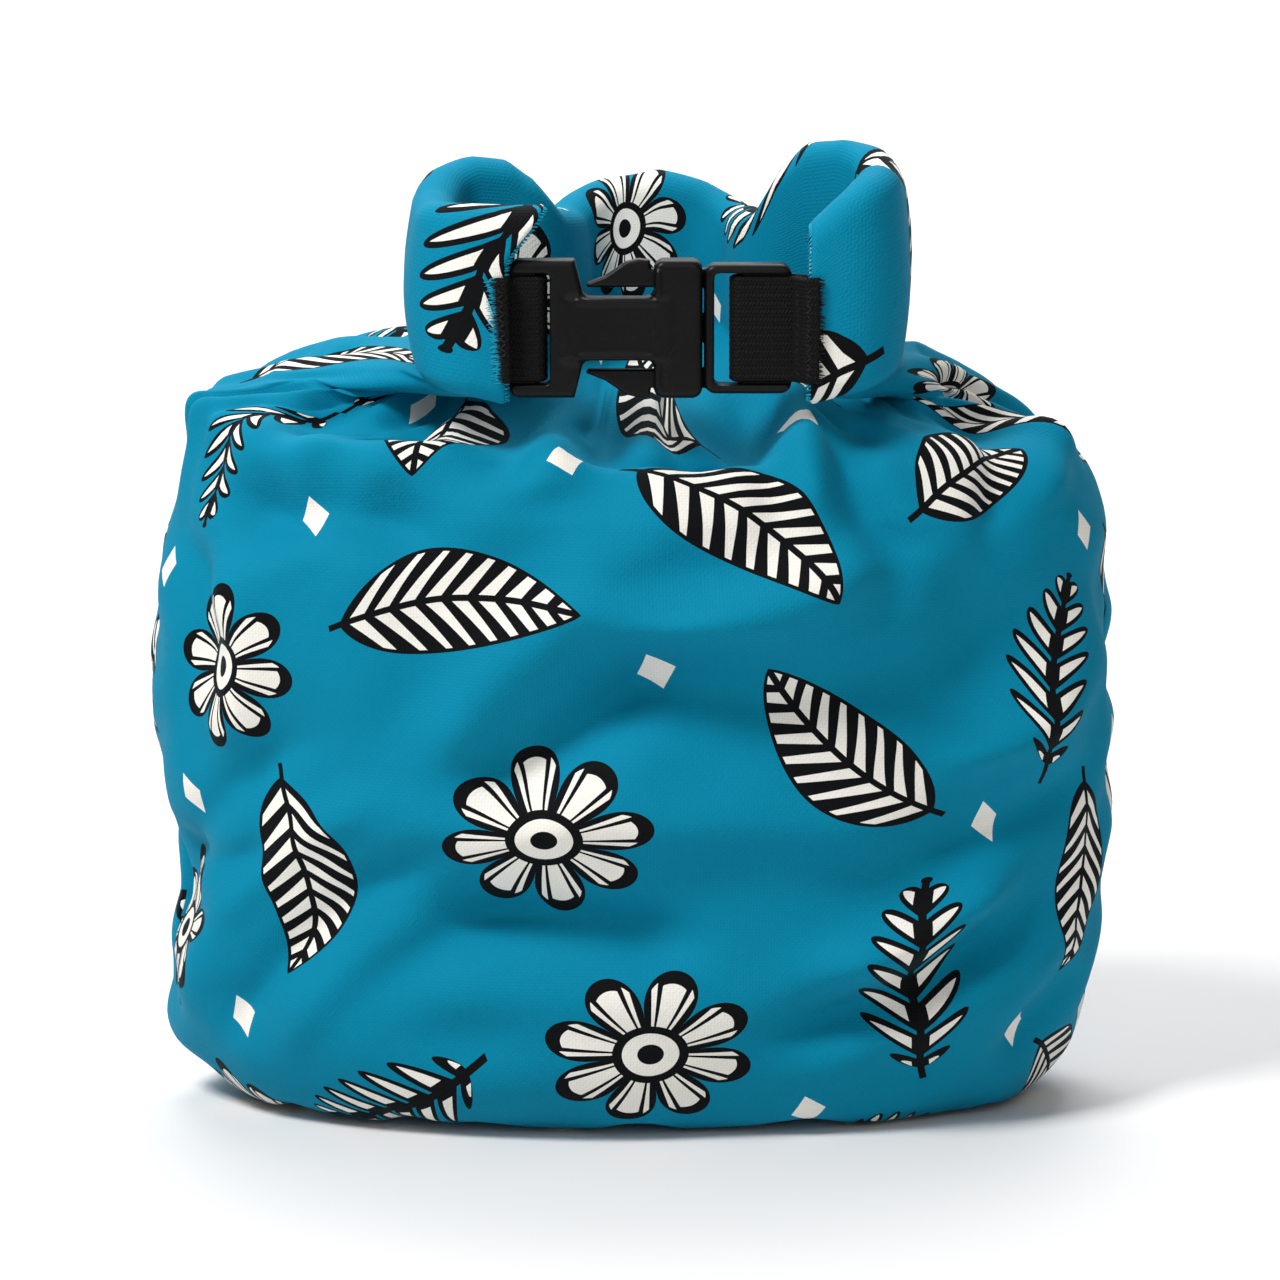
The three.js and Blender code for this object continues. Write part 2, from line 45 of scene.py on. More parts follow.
# Node helpers: a graph adds nodes to its tree, and arithmetic on their outputs adds math nodes
class Graph:
    def __init__(self, tree):
        self.tree = tree

    def put(self, socket, value):
        if isinstance(value, Value):
            value = value.socket
        if isinstance(value, bpy.types.NodeSocket):
            self.tree.links.new(value, socket)
        else:
            socket.default_value = value

    def node(self, kind, inputs=(), **settings):
        made = self.tree.nodes.new(kind)
        for name, value in settings.items():
            setattr(made, name, value)
        for key, value in dict(inputs).items():
            self.put(made.inputs[key], value)
        return made

    def out(self, kind, inputs=(), pick=0, **settings):
        return Value(self, self.node(kind, inputs, **settings).outputs[pick])

    def math(self, operation, *values):
        return self.out("ShaderNodeMath", enumerate(values), operation=operation)

    def wave(self, value, period):
        # Sine of the given period, from 0 to 1
        return self.math("SINE", value * (2 * math.pi / period)) * 0.5 + 0.5

    def blend(self, share, a, b):
        return self.out("ShaderNodeMix", {0: share, 6: a, 7: b}, 2, data_type="RGBA")

    def onObject(self, kind, scale, pick=0, settings=(), **inputs):
        # A texture that stays with the object
        where = self.node("ShaderNodeTexCoord").outputs["Object"]
        return self.out(kind, {"Vector": where, "Scale": scale, **inputs}, pick, **dict(settings))

    def noise(self, scale, detail):
        return self.onObject("ShaderNodeTexNoise", scale, Detail=detail)


class Value:
    # One output: & takes the smaller of two, | the larger, and < and > give 0 or 1
    def __init__(self, graph, socket):
        self.graph = graph
        self.socket = socket

    def __add__(self, other): return self.graph.math("ADD", self, other)
    def __sub__(self, other): return self.graph.math("SUBTRACT", self, other)
    def __rsub__(self, other): return self.graph.math("SUBTRACT", other, self)
    def __mul__(self, other): return self.graph.math("MULTIPLY", self, other)
    def __truediv__(self, other): return self.graph.math("DIVIDE", self, other)
    def __lt__(self, other): return self.graph.math("LESS_THAN", self, other)
    def __gt__(self, other): return self.graph.math("GREATER_THAN", self, other)
    def __and__(self, other): return self.graph.math("MINIMUM", self, other)
    def __or__(self, other): return self.graph.math("MAXIMUM", self, other)
    def __abs__(self): return self.graph.math("ABSOLUTE", self)


def nodeGroup(name, takes, gives):
    # A shader node group with named float sockets, its graph, its inputs and its ends
    group = bpy.data.node_groups.new(name, "ShaderNodeTree")
    for direction, labels in (("INPUT", takes), ("OUTPUT", gives)):
        for label in labels:
            group.interface.new_socket(label, in_out=direction, socket_type="NodeSocketFloat")
    g = Graph(group)
    given = g.node("NodeGroupInput").outputs
    ends = g.node("NodeGroupOutput").inputs
    return group, g, {label: Value(g, given[label]) for label in takes}, ends


def principled(name):
    material = bpy.data.materials.new(name)
    material.use_nodes = True
    return material, Graph(material.node_tree), material.node_tree.nodes["Principled BSDF"]


def finishShader(g, shader, colour, roughness, specular, bump):
    # bump is its strength, its depth in millimetres and its height
    g.put(shader.inputs["Base Color"], colour)
    g.put(shader.inputs["Roughness"], roughness)
    shader.inputs["Specular IOR Level"].default_value = specular
    strength, depth, height = bump
    relief = g.node("ShaderNodeBump", {"Strength": strength, "Distance": depth * mm, "Height": height})
    g.put(shader.inputs["Normal"], relief.outputs[0])


# Mesh helpers
def newPiece(name, vertices, faces):
    mesh = bpy.data.meshes.new(name)
    mesh.from_pydata(np.asarray(vertices, float).tolist(), [], faces)
    mesh.polygons.foreach_set("use_smooth", [True] * len(mesh.polygons))
    piece = bpy.data.objects.new(name, mesh)
    bpy.context.collection.objects.link(piece)
    return piece


def ringFaces(rows, count, start=0):
    # Quads between rows of points that each close on themselves
    faces = []
    for k in range(start, start + (rows - 1) * count, count):
        for i in range(count):
            j = (i + 1) % count
            faces.append((k + i, k + j, k + count + j, k + count + i))
    return faces


def lengthsAlong(path):
    return np.concatenate([[0], np.cumsum(np.linalg.norm(np.diff(path, axis=0), axis=1))])


def neighbourSteps(rows):
    # From the row before to the row after, along the first axis
    steps = np.empty_like(rows)
    steps[1:-1] = rows[2:] - rows[:-2]
    steps[0] = rows[1] - rows[0]
    steps[-1] = rows[-1] - rows[-2]
    return steps


# Camera: the photograph's view, square frame, long lens
cameraSetup = {
    "lookAt": (0.0028, 0.0, 0.1132),
    "distance": 1.25,
    "elevation": 10.0,
    "frameWidth": 0.3145,  # what the frame spans at the middle of the bag
    "sensor": 36.0,
}


def makeCamera(setup):
    data = bpy.data.cameras.new("camera")
    data.sensor_width = setup["sensor"]
    data.sensor_fit = "HORIZONTAL"
    data.lens = setup["sensor"] * setup["distance"] / setup["frameWidth"]
    camera = bpy.data.objects.new("camera", data)
    bpy.context.collection.objects.link(camera)
    elevation = math.radians(setup["elevation"])
    away = Vector((0.0, -math.cos(elevation), math.sin(elevation)))
    camera.location = Vector(setup["lookAt"]) + away * setup["distance"]
    camera.rotation_euler = away.to_track_quat("Z", "Y").to_euler()
    bpy.context.scene.camera = camera


makeCamera(cameraSetup)

# Studio: pale floor running up into a backdrop, a key, a fill, a top light and one for the backdrop
studio = {
    "world": 0.2,
    "seenWorld": 0.93,  # what the camera sees past the floor
    "lights": {
        "key": {"at": (-0.68, -0.58, 1.3), "to": (0, 0, 0.12), "size": 0.4, "power": 21.0},
        "fill": {"at": (0.25, -1.2, 0.75), "to": (0, 0, 0.2), "size": 0.8, "power": 3.0},
        "top": {"at": (0.1, 0.3, 1.2), "to": (0, 0, 0.12), "size": 0.6, "power": 3.0},
        "backdrop": {"at": (0.0, 1.0, 1.5), "to": (0, 1.35, 0), "size": 1.2, "power": 22.0},
    },
    "floor": {
        "halfWidth": 2.56,
        "near": -2.0,
        "bendAt": 1.2,  # where the floor starts to turn up
        "bend": 0.5,  # radius of that turn
        "bendSteps": 8,
        "top": 2.6,
        "under": 0.0002,  # clearance under the bag
        "tone": 0.78,
        "roughness": 0.8,
    },
}


def areaLight(name, at, to, size, power):
    data = bpy.data.lights.new(name, "AREA")
    data.shape = "SQUARE"
    data.size = size
    data.energy = power
    light = bpy.data.objects.new(name, data)
    light.location = at
    light.rotation_euler = (Vector(at) - Vector(to)).to_track_quat("Z", "Y").to_euler()
    bpy.context.collection.objects.link(light)


def makeWorld(ambient, seen):
    world = bpy.data.worlds.new("studio")
    bpy.context.scene.world = world
    world.use_nodes = True
    g = Graph(world.node_tree)
    white = (1, 1, 1, 1)
    lit = world.node_tree.nodes["Background"]
    g.put(lit.inputs["Color"], white)
    g.put(lit.inputs["Strength"], ambient)
    shown = g.node("ShaderNodeBackground", {"Color": white, "Strength": seen})
    byCamera = g.node("ShaderNodeLightPath").outputs["Is Camera Ray"]
    either = g.node("ShaderNodeMixShader", {0: byCamera, 1: lit.outputs[0], 2: shown.outputs[0]})
    g.put(world.node_tree.nodes["World Output"].inputs["Surface"], either.outputs[0])


def makeFloor(setup):
    bend = setup["bend"]
    profile = [(setup["near"], 0.0), (setup["bendAt"], 0.0)]
    for step in range(1, setup["bendSteps"] + 1):
        turn = math.radians(90 * step / setup["bendSteps"])
        profile.append((setup["bendAt"] + bend * math.sin(turn), bend - bend * math.cos(turn)))
    profile.append((setup["bendAt"] + bend, setup["top"]))
    wide = setup["halfWidth"]
    vertices = [(side * wide, y, z - setup["under"]) for y, z in profile for side in (-1, 1)]
    faces = [(2 * i, 2 * i + 1, 2 * i + 3, 2 * i + 2) for i in range(len(profile) - 1)]
    floor = newPiece("studio_floor", vertices, faces)
    material, g, shader = principled("studio_floor")
    g.put(shader.inputs["Base Color"], (setup["tone"], setup["tone"], setup["tone"], 1))
    g.put(shader.inputs["Roughness"], setup["roughness"])
    floor.data.materials.append(material)


makeWorld(studio["world"], studio["seenWorld"])
for name, light in studio["lights"].items():
    areaLight(name, **light)
makeFloor(studio["floor"])
bpy.context.scene.view_settings.view_transform = "Standard"
print("stage: camera and studio")

# Sizes of the pouch and the roll, in millimetres, as in the CAD
pouch = {
    "width": 236.0,
    "depth": 110.0,
    "shoulder": 188.0,
    "flatHalf": 146.0,  # half the width of the empty bag, seam to seam
    "roundness": 2.25,  # power of the oval sections
    "squareness": 20,  # power where the pouch is flattened into the roll
}
roll = {
    "mouth": 234.0,
    "shift": 7.0,
    "back": 35.0,
    "rise": 48.0,  # shoulders to the highest part of the roll
    "plump": 1.6,
    "plyHalf": 1.2,
    "gap": 0.6,
    "webbing": 1.4,  # thickness of the tabs' band
    "clearance": 0.35,
    "tabFrom": (0.82, 0.1),  # the plies part for the tabs from this share on, and over how much
    "flatFrom": (0.84, 0.12),  # and the roll is less plump
}
rollSteps = {"inside": 20, "top": 12, "outside": 20, "foot": 10, "ply": 4, "core": 6}
clothGrid = {
    "wallColumns": 150,
    "seamColumns": (0.25, 0.6, 1.1, 1.8, 2.8),  # distances from the seam
    "wallFrom": 4.0,
    "rowStep": 1.35,
    "probes": 600,  # sections tried to space the rows
    "probeShare": 0.35,
}

# Heading of the roll from its middle (share 0) to its end (share 1), in degrees
ringTurns = (
    (0.0, 0), (0.07, 4), (0.17, 46), (0.26, 84), (0.34, 66), (0.43, 14), (0.53, 20), (0.62, 68),
    (0.71, 92), (0.82, 98), (0.89, 144), (0.94, 178), (1.0, 180),
)
# Sections of the pouch from the floor up: heights at the front, back, left seam and right seam,
# half widths left and right, half depths fore and aft, and how far the section is bent
pouchSections = (
    (0, 0, 0, 0, 0.38, 0.38, 0.36, 0.36, 0),
    (0, 0, 0, 0, 0.74, 0.76, 0.74, 0.74, 0),
    (0.025, 0.025, 0.03, 0.03, 0.85, 0.87, 0.86, 0.86, 0),
    (0.09, 0.09, 0.1, 0.1, 0.945, 0.93, 0.96, 0.96, 0),
    (0.18, 0.18, 0.19, 0.19, 0.97, 0.98, 1.0, 0.99, 0),
    (0.27, 0.27, 0.27, 0.27, 0.925, 0.98, 0.985, 1.0, 0),
    (0.36, 0.36, 0.36, 0.36, 0.945, 1.0, 0.965, 1.0, 0),
    (0.45, 0.45, 0.45, 0.45, 0.98, 1.0, 0.975, 0.99, 0),
    (0.54, 0.54, 0.54, 0.54, 1.0, 1.0, 1.0, 0.97, 0),
    (0.63, 0.63, 0.63, 0.62, 0.99, 1.01, 1.01, 0.96, 0),
    (0.72, 0.72, 0.71, 0.7, 0.97, 1.0, 1.0, 0.95, 0),
    (0.8, 0.81, 0.79, 0.765, 0.945, 0.975, 0.97, 0.93, 0),
    (0.86, 0.885, 0.86, 0.83, 0.925, 0.93, 0.93, 0.91, 0.01),
    (0.893, 0.94, 0.92, 0.885, 0.9, 0.86, 0.9, 0.88, 0.03),
    (0.91, 0.97, 0.93, 0.91, 0.84, 0.76, 0.88, 0.8, 0.08),
    (0.918, 0.985, 0.935, 0.92, 0.72, 0.63, 0.88, 0.64, 0.2),
    (0.938, 0.992, 0.939, 0.93, 0.55, 0.52, 0.6, 0.44, 0.42),
    (0.972, 1.0, 0.942, 0.938, 0.46, 0.46, 0.5, 0.2, 0.72),
    (1.005, 1.005, 0.945, 0.945, 1.0, 1.0, 0.1, 0.1, 1),
)
# Top and foot of the roll from its left end to its right end: heights over the shoulders as shares
# of the roll's rise
rollEdges = (
    (-1.0, 0.746, -0.24), (-0.9, 0.745, -0.18), (-0.8, 0.745, -0.1), (-0.7, 0.78, -0.03),
    (-0.62, 0.87, 0.02), (-0.54, 0.91, 0.06), (-0.46, 0.89, 0.08), (-0.41, 0.8, 0.09),
    (-0.36, 0.64, 0.09), (-0.25, 0.62, 0.09), (-0.12, 0.735, 0.09), (0.0, 0.79, 0.09),
    (0.1, 0.73, 0.09), (0.2, 0.62, 0.09), (0.36, 0.62, 0.09), (0.41, 0.85, 0.09),
    (0.46, 0.97, 0.08), (0.54, 1.0, 0.06), (0.62, 0.97, 0.02), (0.7, 0.89, -0.03),
    (0.77, 0.86, -0.07), (0.84, 0.92, -0.12), (0.9, 0.87, -0.17), (1.0, 0.66, -0.24),
)


def mix(a, b, t):
    return a + (b - a) * t


def ease(t):
    t = np.clip(t, 0, 1)
    return t * t * (3 - 2 * t)


def fade(at, span):
    # From 0 to 1 over a span given by its start and its length
    return ease((at - span[0]) / span[1])


def readTable(table, at, value=1):
    # A column of a table at places given by its first column
    rows = np.array(table, float)
    return np.interp(at, rows[:, 0], rows[:, value])


def splineTable(table, at):
    # Smooth curve through the rows of a table, read at row positions
    rows = np.array(table, float)
    last = len(rows) - 1
    i = np.clip(np.floor(at).astype(int), 0, last - 1)
    t = (at - i)[:, None]
    p0 = rows[np.maximum(i - 1, 0)]
    p1 = rows[i]
    p2 = rows[i + 1]
    p3 = rows[np.minimum(i + 2, last)]
    m1 = 0.5 * (p2 - p0)
    m2 = 0.5 * (p3 - p1)
    h = t * t * (3 - 2 * t)
    return p1 * (1 - h) + p2 * h + m1 * (t * (1 - t) ** 2) - m2 * (t * t * (1 - t))


def middleLine(bend, leftLength, rightLength, shares):
    # Points and headings along the middle line of one section, at shares from -1 to 1
    steps = 240
    turn = bend * np.radians(readTable(ringTurns, (np.arange(steps) + 0.5) / steps))
    walkX = np.concatenate([[0], np.cumsum(np.cos(turn))]) / steps
    walkY = np.concatenate([[0], np.cumsum(np.sin(turn))]) / steps
    marks = np.arange(steps + 1) / steps
    size = np.abs(shares)
    length = np.where(shares < 0, leftLength, rightLength)
    side = np.sign(shares)
    x = roll["shift"] * bend + side * length * np.interp(size, marks, walkX)
    y = roll["back"] * (1 - (1 - bend) ** 2) - length * np.interp(size, marks, walkY)
    heading = -side * bend * np.radians(readTable(ringTurns, size))
    return x, y, heading


def clothColumns():
    # Columns run from the left seam over the front to the right seam and home over the back
    half = roll["mouth"] / 2
    seamColumns = np.array(clothGrid["seamColumns"])
    reach = 1 - clothGrid["wallFrom"] / half
    inner = np.linspace(-reach, reach, clothGrid["wallColumns"] - 2 * len(seamColumns))
    near = 1 - seamColumns / half
    wall = np.concatenate([-near, inner, near[::-1]])
    shares = np.concatenate([[-1], wall, [1], wall[::-1]])
    face = np.concatenate([[0], -np.ones(len(wall)), [0], np.ones(len(wall))])
    return shares, face


def roundedEdge(shares):
    # Thickness of a ply near its seam, from 0 at the seam to 1
    fromEdge = (1 - np.abs(shares)) * roll["mouth"] / 2 / roll["plyHalf"]
    return np.sqrt(np.maximum(0, 1 - (1 - np.minimum(1, fromEdge)) ** 2))


def pouchRow(section, shares, face):
    front, back, leftEnd, rightEnd, left, right, fore, aft, bend = section
    bend = min(max(bend, 0.0), 1.0)
    leftLength = mix(left * pouch["width"] / 2, roll["mouth"] / 2, bend)
    rightLength = mix(right * pouch["width"] / 2, roll["mouth"] / 2, bend)
    power = mix(pouch["roundness"], pouch["squareness"], bend ** 4)
    spread = np.sign(shares) * mix(np.sin(np.abs(shares) * math.pi / 2), np.abs(shares), bend)
    share = np.where(face < 0, fore, aft)
    depth = mix(share * pouch["depth"] / 2, roll["plyHalf"], bend ** 0.7)
    full = np.maximum(0, 1 - np.abs(spread) ** power) ** (1 / power)
    full = mix(full, roundedEdge(shares), bend ** 6)
    towards = np.where(face < 0, front, back)
    drop = mix(1 - ease(np.where(face == 0, 0, full)), np.abs(shares) ** 3, bend)
    z = pouch["shoulder"] * mix(towards, np.where(shares < 0, leftEnd, rightEnd), drop)
    x, y, heading = middleLine(bend, leftLength, rightLength, spread)
    pitch = 2 * roll["plyHalf"] + roll["gap"]
    out = -1.5 * pitch * ease(bend) + face * depth * full
    return np.stack([x - out * np.sin(heading), y + out * np.cos(heading), z], axis=1)


def rollPath(share):
    # The ply's middle through the roll: offset out of the ring and height, one row per point
    def edgeHeight(edge):
        return pouch["shoulder"] + roll["rise"] * readTable(rollEdges, share, edge)

    pitch = 2 * roll["plyHalf"] + roll["gap"]
    tab = 2 * roll["plyHalf"] + roll["webbing"] + 2 * roll["clearance"]
    core = mix(pitch, tab, fade(abs(share), roll["tabFrom"]))
    plump = roll["plump"] * (1 - 0.9 * fade(abs(share), roll["flatFrom"]))
    inside = -1.5 * pitch
    outside = core + 0.5 * pitch
    topRadius = (outside - inside) / 2
    footRadius = (outside + pitch / 2) / 2
    topZ = edgeHeight(1) - roll["plyHalf"] - topRadius
    footZ = edgeHeight(2) + roll["plyHalf"] + footRadius
    neckZ = pouch["shoulder"] * mix(1.005, 0.945, abs(share) ** 3)  # as the last of pouchSections
    points = []

    def straight(e0, z0, e1, z1, bulge, count):
        for i in range(1, count):
            t = i / count
            points.append((mix(e0, e1, t) + bulge * math.sin(math.pi * t), mix(z0, z1, t)))

    def turn(middleE, middleZ, radius, start, end, count):
        for i in range(count + 1):
            angle = math.radians(mix(start, end, i / count))
            points.append((middleE + radius * math.cos(angle), middleZ + radius * math.sin(angle)))

    straight(inside, neckZ, inside, topZ, -roll["plump"] / 2, rollSteps["inside"])
    turn(inside + topRadius, topZ, topRadius, 180, 0, rollSteps["top"])
    straight(outside, topZ, outside, footZ, plump, rollSteps["outside"])
    turn(outside - footRadius, footZ, footRadius, 0, -180, rollSteps["foot"])
    straight(-pitch / 2, footZ, -pitch / 2, topZ, 0, rollSteps["ply"])
    turn((core - pitch) / 2, topZ, core / 2, 180, 0, rollSteps["core"])
    straight(core - pitch / 2, topZ, core - pitch / 2, footZ, 0, rollSteps["ply"])
    points.append((core - pitch / 2, footZ))
    return np.array(points)


def rollRows(shares, face):
    half = roll["mouth"] / 2
    x, y, heading = middleLine(1.0, half, half, shares)
    thickness = roundedEdge(shares)
    columns = []
    for i, share in enumerate(shares):
        path = rollPath(share)
        run = neighbourSteps(path)
        run /= np.linalg.norm(run, axis=1)[:, None]
        offset = face[i] * roll["plyHalf"] * thickness[i]
        e = path[:, 0] + offset * run[:, 1]
        z = path[:, 1] - offset * run[:, 0]
        sine = math.sin(heading[i])
        cosine = math.cos(heading[i])
        columns.append(np.stack([x[i] - e * sine, y[i] + e * cosine, z], axis=1))
    return np.stack(columns, axis=1)


def gridNormals(grid):
    # Unit normals of a grid whose columns close on themselves
    around = np.roll(grid, -1, axis=1) - np.roll(grid, 1, axis=1)
    normal = np.cross(around, neighbourSteps(grid))
    return normal / np.maximum(1e-9, np.linalg.norm(normal, axis=2))[:, :, None]


def smoothGrid(field, times):
    for _ in range(times):
        across = (np.roll(field, 1, axis=1) + np.roll(field, -1, axis=1)) / 2
        field = field + 0.5 * (across - field)
        upDown = field.copy()
        upDown[1:-1] = (field[:-2] + field[2:]) / 2
        field = field + 0.5 * (upDown - field)
    return field


# Folds and hollows, in millimetres as seen from the front: start x and z, end x and z, how far the
# middle swings to the left of the run, half width, and how far the fold rises outwards
frontFolds = (
    (-92, 183, -40, 180, -3, 4.5, 4.5), (-84, 175, -32, 174, -2, 3.6, -7.0), (-34, 181, -44, 164, -2, 4, 3.0),
    (-26, 180, -33, 160, 2, 4, -4.0), (-16, 180, -22, 156, 2, 5, 3.0), (-9, 179.5, 29, 179.5, -1, 3.6, 3.5),
    (-13, 170.5, 33, 170.5, -2, 4.6, -12.0), (29, 178, 37, 146, -2, 4, -4.0), (40, 182, 45, 152, -2, 5, 5.0),
    (50, 181, 88, 170, 2, 3.6, -6.0), (58, 184, 96, 174, 3, 4, 4.0), (52, 170, 66, 140, -3, 6, -4.0),
    (62, 144, -14, 130, 9, 8, 6.5), (-6, 133, -46, 96, -3, 8, 6.0), (104, 122, -8, 108, 7, 13, -10.5),
    (8, 117, -38, 87, 4, 8, -8.5), (-72, 76, 70, 76, 3, 9, 5.5), (-46, 55, 14, 49, 3, 6, -8.5),
    (44, 41, 92, 62, -3, 6, 6.0), (34, 26, 96, 54, -4, 6, -7.0), (-52, 36, 22, 30, 4, 8, 3.2),
    (-108, 27, -62, 84, 6, 5, 4.0), (-98, 20, -48, 70, 6, 4.5, -4.0), (-84, 18, -40, 58, 6, 5, 3.0),
    (-113, 50, -78, 96, 5, 5, -3.5), (-96, 92, -92, 136, -2, 6, 3.5), (-104, 110, -106, 142, -2, 5, -3.0),
    (-94, 151, -44, 147, 2, 8, -7.5), (-96, 166, -52, 164, 0, 9, 3.5), (97, 178, 101, 150, 2, 5, 3.5),
    (86, 176, 88, 146, 2, 5, -4.0), (108, 104, 76, 92, 3, 5, 3.4), (108, 84, 72, 70, 3, 5, -3.4),
    (-112, 66, -84, 70, -4, 4, -3.0), (90, 18, 108, 40, -3, 5, -3.6),
)
backFolds = (
    (-60, 170, -20, 120, 8, 9, -4.5), (70, 172, 40, 128, -7, 9, -4.0), (-90, 120, 60, 84, 12, 12, -5.0),
    (-80, 96, 70, 60, 12, 10, 3.5), (-70, 44, 20, 36, 6, 8, -3.6), (20, 70, 96, 40, -5, 8, -3.0),
    (88, 150, 94, 96, 3, 7, 2.8), (-92, 156, -98, 100, 3, 8, -2.8), (0, 180, 4, 140, 3, 7, 2.6),
    (-30, 182, -44, 150, 3, 5, -2.6), (30, 182, 40, 146, 3, 5, -2.4),
)
# Small relief: seed, number of sines, their lengths across and along the cloth, height
ripples = {
    "gathers": (11, 7, 15.0, 90.0, 1.9),
    "puckers": (23, 6, 60.0, 13.0, 1.5),
    "lumps": (5, 8, 75.0, 60.0, 1.3),
    "smallLumps": (6, 8, 34.0, 26.0, 0.7),
    "softRoll": (31, 7, 26.0, 34.0, 0.28),
}
relief = {
    # spans over which an effect grows: where it starts and how long it takes
    "underRoll": (6, 22),  # all relief, in rows below the roll
    "overFloor": (3, 14),  # all relief, in millimetres over the floor
    "neck": (140, 45),  # the gathers, in height
    "fromSeam": 16,
    "seamCrease": (1.3, 2.4),  # depth and width
    "softRows": (2, 52),  # rows of the roll that are softened
    "backAway": 900,  # the back's ripples are drawn this far from the front's
}
leftLean = {"shares": (0.87, 0.12), "heights": (208, 17), "move": 9.5}


def foldHeight(folds, x, z):
    height = np.zeros_like(x)
    for x0, z0, x1, z1, bow, width, rise in folds:
        length = math.hypot(x1 - x0, z1 - z0)
        ux, uz = (x1 - x0) / length, (z1 - z0) / length
        along = ((x - x0) * ux + (z - z0) * uz) / length
        aside = (z - z0) * ux - (x - x0) * uz - bow * 4 * along * (1 - along)
        taper = np.exp(-np.maximum(0, np.abs(along - 0.5) - 0.28) ** 2 / 0.045)
        height += rise * np.exp(-((aside / width) ** 2)) * taper
    return height


def rippled(name, u, v):
    # Smooth seeded ripples from a few sines
    seed, count, lengthU, lengthV, height = ripples[name]
    draw = np.random.default_rng(seed)
    total = np.zeros_like(u)
    for _ in range(count):
        a = draw.uniform(-1, 1) * 2 * math.pi / lengthU
        b = draw.uniform(-1, 1) * 2 * math.pi / lengthV
        total += np.sin(a * u + b * v + draw.uniform(0, 2 * math.pi))
    return total / math.sqrt(count) * height


def bagGrid():
    shares, face = clothColumns()
    places = np.linspace(0, len(pouchSections) - 1, clothGrid["probes"])
    probe = splineTable(pouchSections, places)
    steps = []
    for side in (-1.0, 1.0):
        spots = [pouchRow(row, np.array([clothGrid["probeShare"]]), np.array([side]))[0] for row in probe]
        steps.append(np.linalg.norm(np.diff(spots, axis=0), axis=1))
    walked = np.concatenate([[0], np.cumsum(np.maximum(*steps))])
    count = int(walked[-1] / clothGrid["rowStep"])
    rowsAt = np.interp(np.linspace(0, walked[-1], count), walked, places)
    sections = splineTable(pouchSections, rowsAt)
    sections[:, :4] = np.maximum(sections[:, :4], 0)
    lower = np.stack([pouchRow(row, shares, face) for row in sections])
    return shares, face, lower, rollRows(shares, face)


def wrinkled(shares, face, lower, upper):
    # Folds, gathers under the roll, puckers at the seams and soft lumps, pushed along the normals
    grid = np.concatenate([lower, upper])
    normal = gridNormals(smoothGrid(grid, 4))
    x, z = grid[:, :, 0], grid[:, :, 2]
    pouchRows = len(lower)
    row = np.arange(len(grid))[:, None] * np.ones((1, grid.shape[1]))
    onPouch = fade(pouchRows - row, relief["underRoll"])
    offFloor = fade(z, relief["overFloor"])
    neck = fade(z, relief["neck"])
    isFront = (face < 0)[None, :]
    fromSeam = (1 - np.abs(shares)) * pouch["flatHalf"]
    facing = ease(fromSeam / relief["fromSeam"])[None, :]
    folds = np.where(isFront, foldHeight(frontFolds, x, z), foldHeight(backFolds, x, z)) * facing
    u = (shares * pouch["flatHalf"])[None, :] + 0 * z
    u = np.where(isFront, u, u + relief["backAway"])
    gathers = rippled("gathers", u, z) * neck
    seam = np.exp(-fromSeam / relief["fromSeam"])[None, :]
    depth, width = relief["seamCrease"]
    crease = -depth * np.exp(-((fromSeam / width) ** 2))[None, :]
    puckers = rippled("puckers", u, z) * seam * (1 - neck)
    lumps = rippled("lumps", u, z) + rippled("smallLumps", u, z)
    push = (folds + gathers + puckers + lumps + crease) * onPouch * offFloor
    first, last = relief["softRows"]
    soft = rippled("softRoll", u, z) * (1 - onPouch) * ease(fromSeam / 5)[None, :]
    push = push + soft * ((row > pouchRows + first) & (row < pouchRows + last))
    push = smoothGrid(push[:, :, None], 2)[:, :, 0]
    moved = grid + normal * push[:, :, None]
    # The left end of the roll leans in over the buckle's height
    leaning = fade(-shares, leftLean["shares"])[None, :] * (row >= pouchRows)
    moved[:, :, 2] = np.maximum(moved[:, :, 2], 0.0)
    moved[:, :, 0] += leftLean["move"] * leaning * fade(moved[:, :, 2], leftLean["heights"])
    return moved


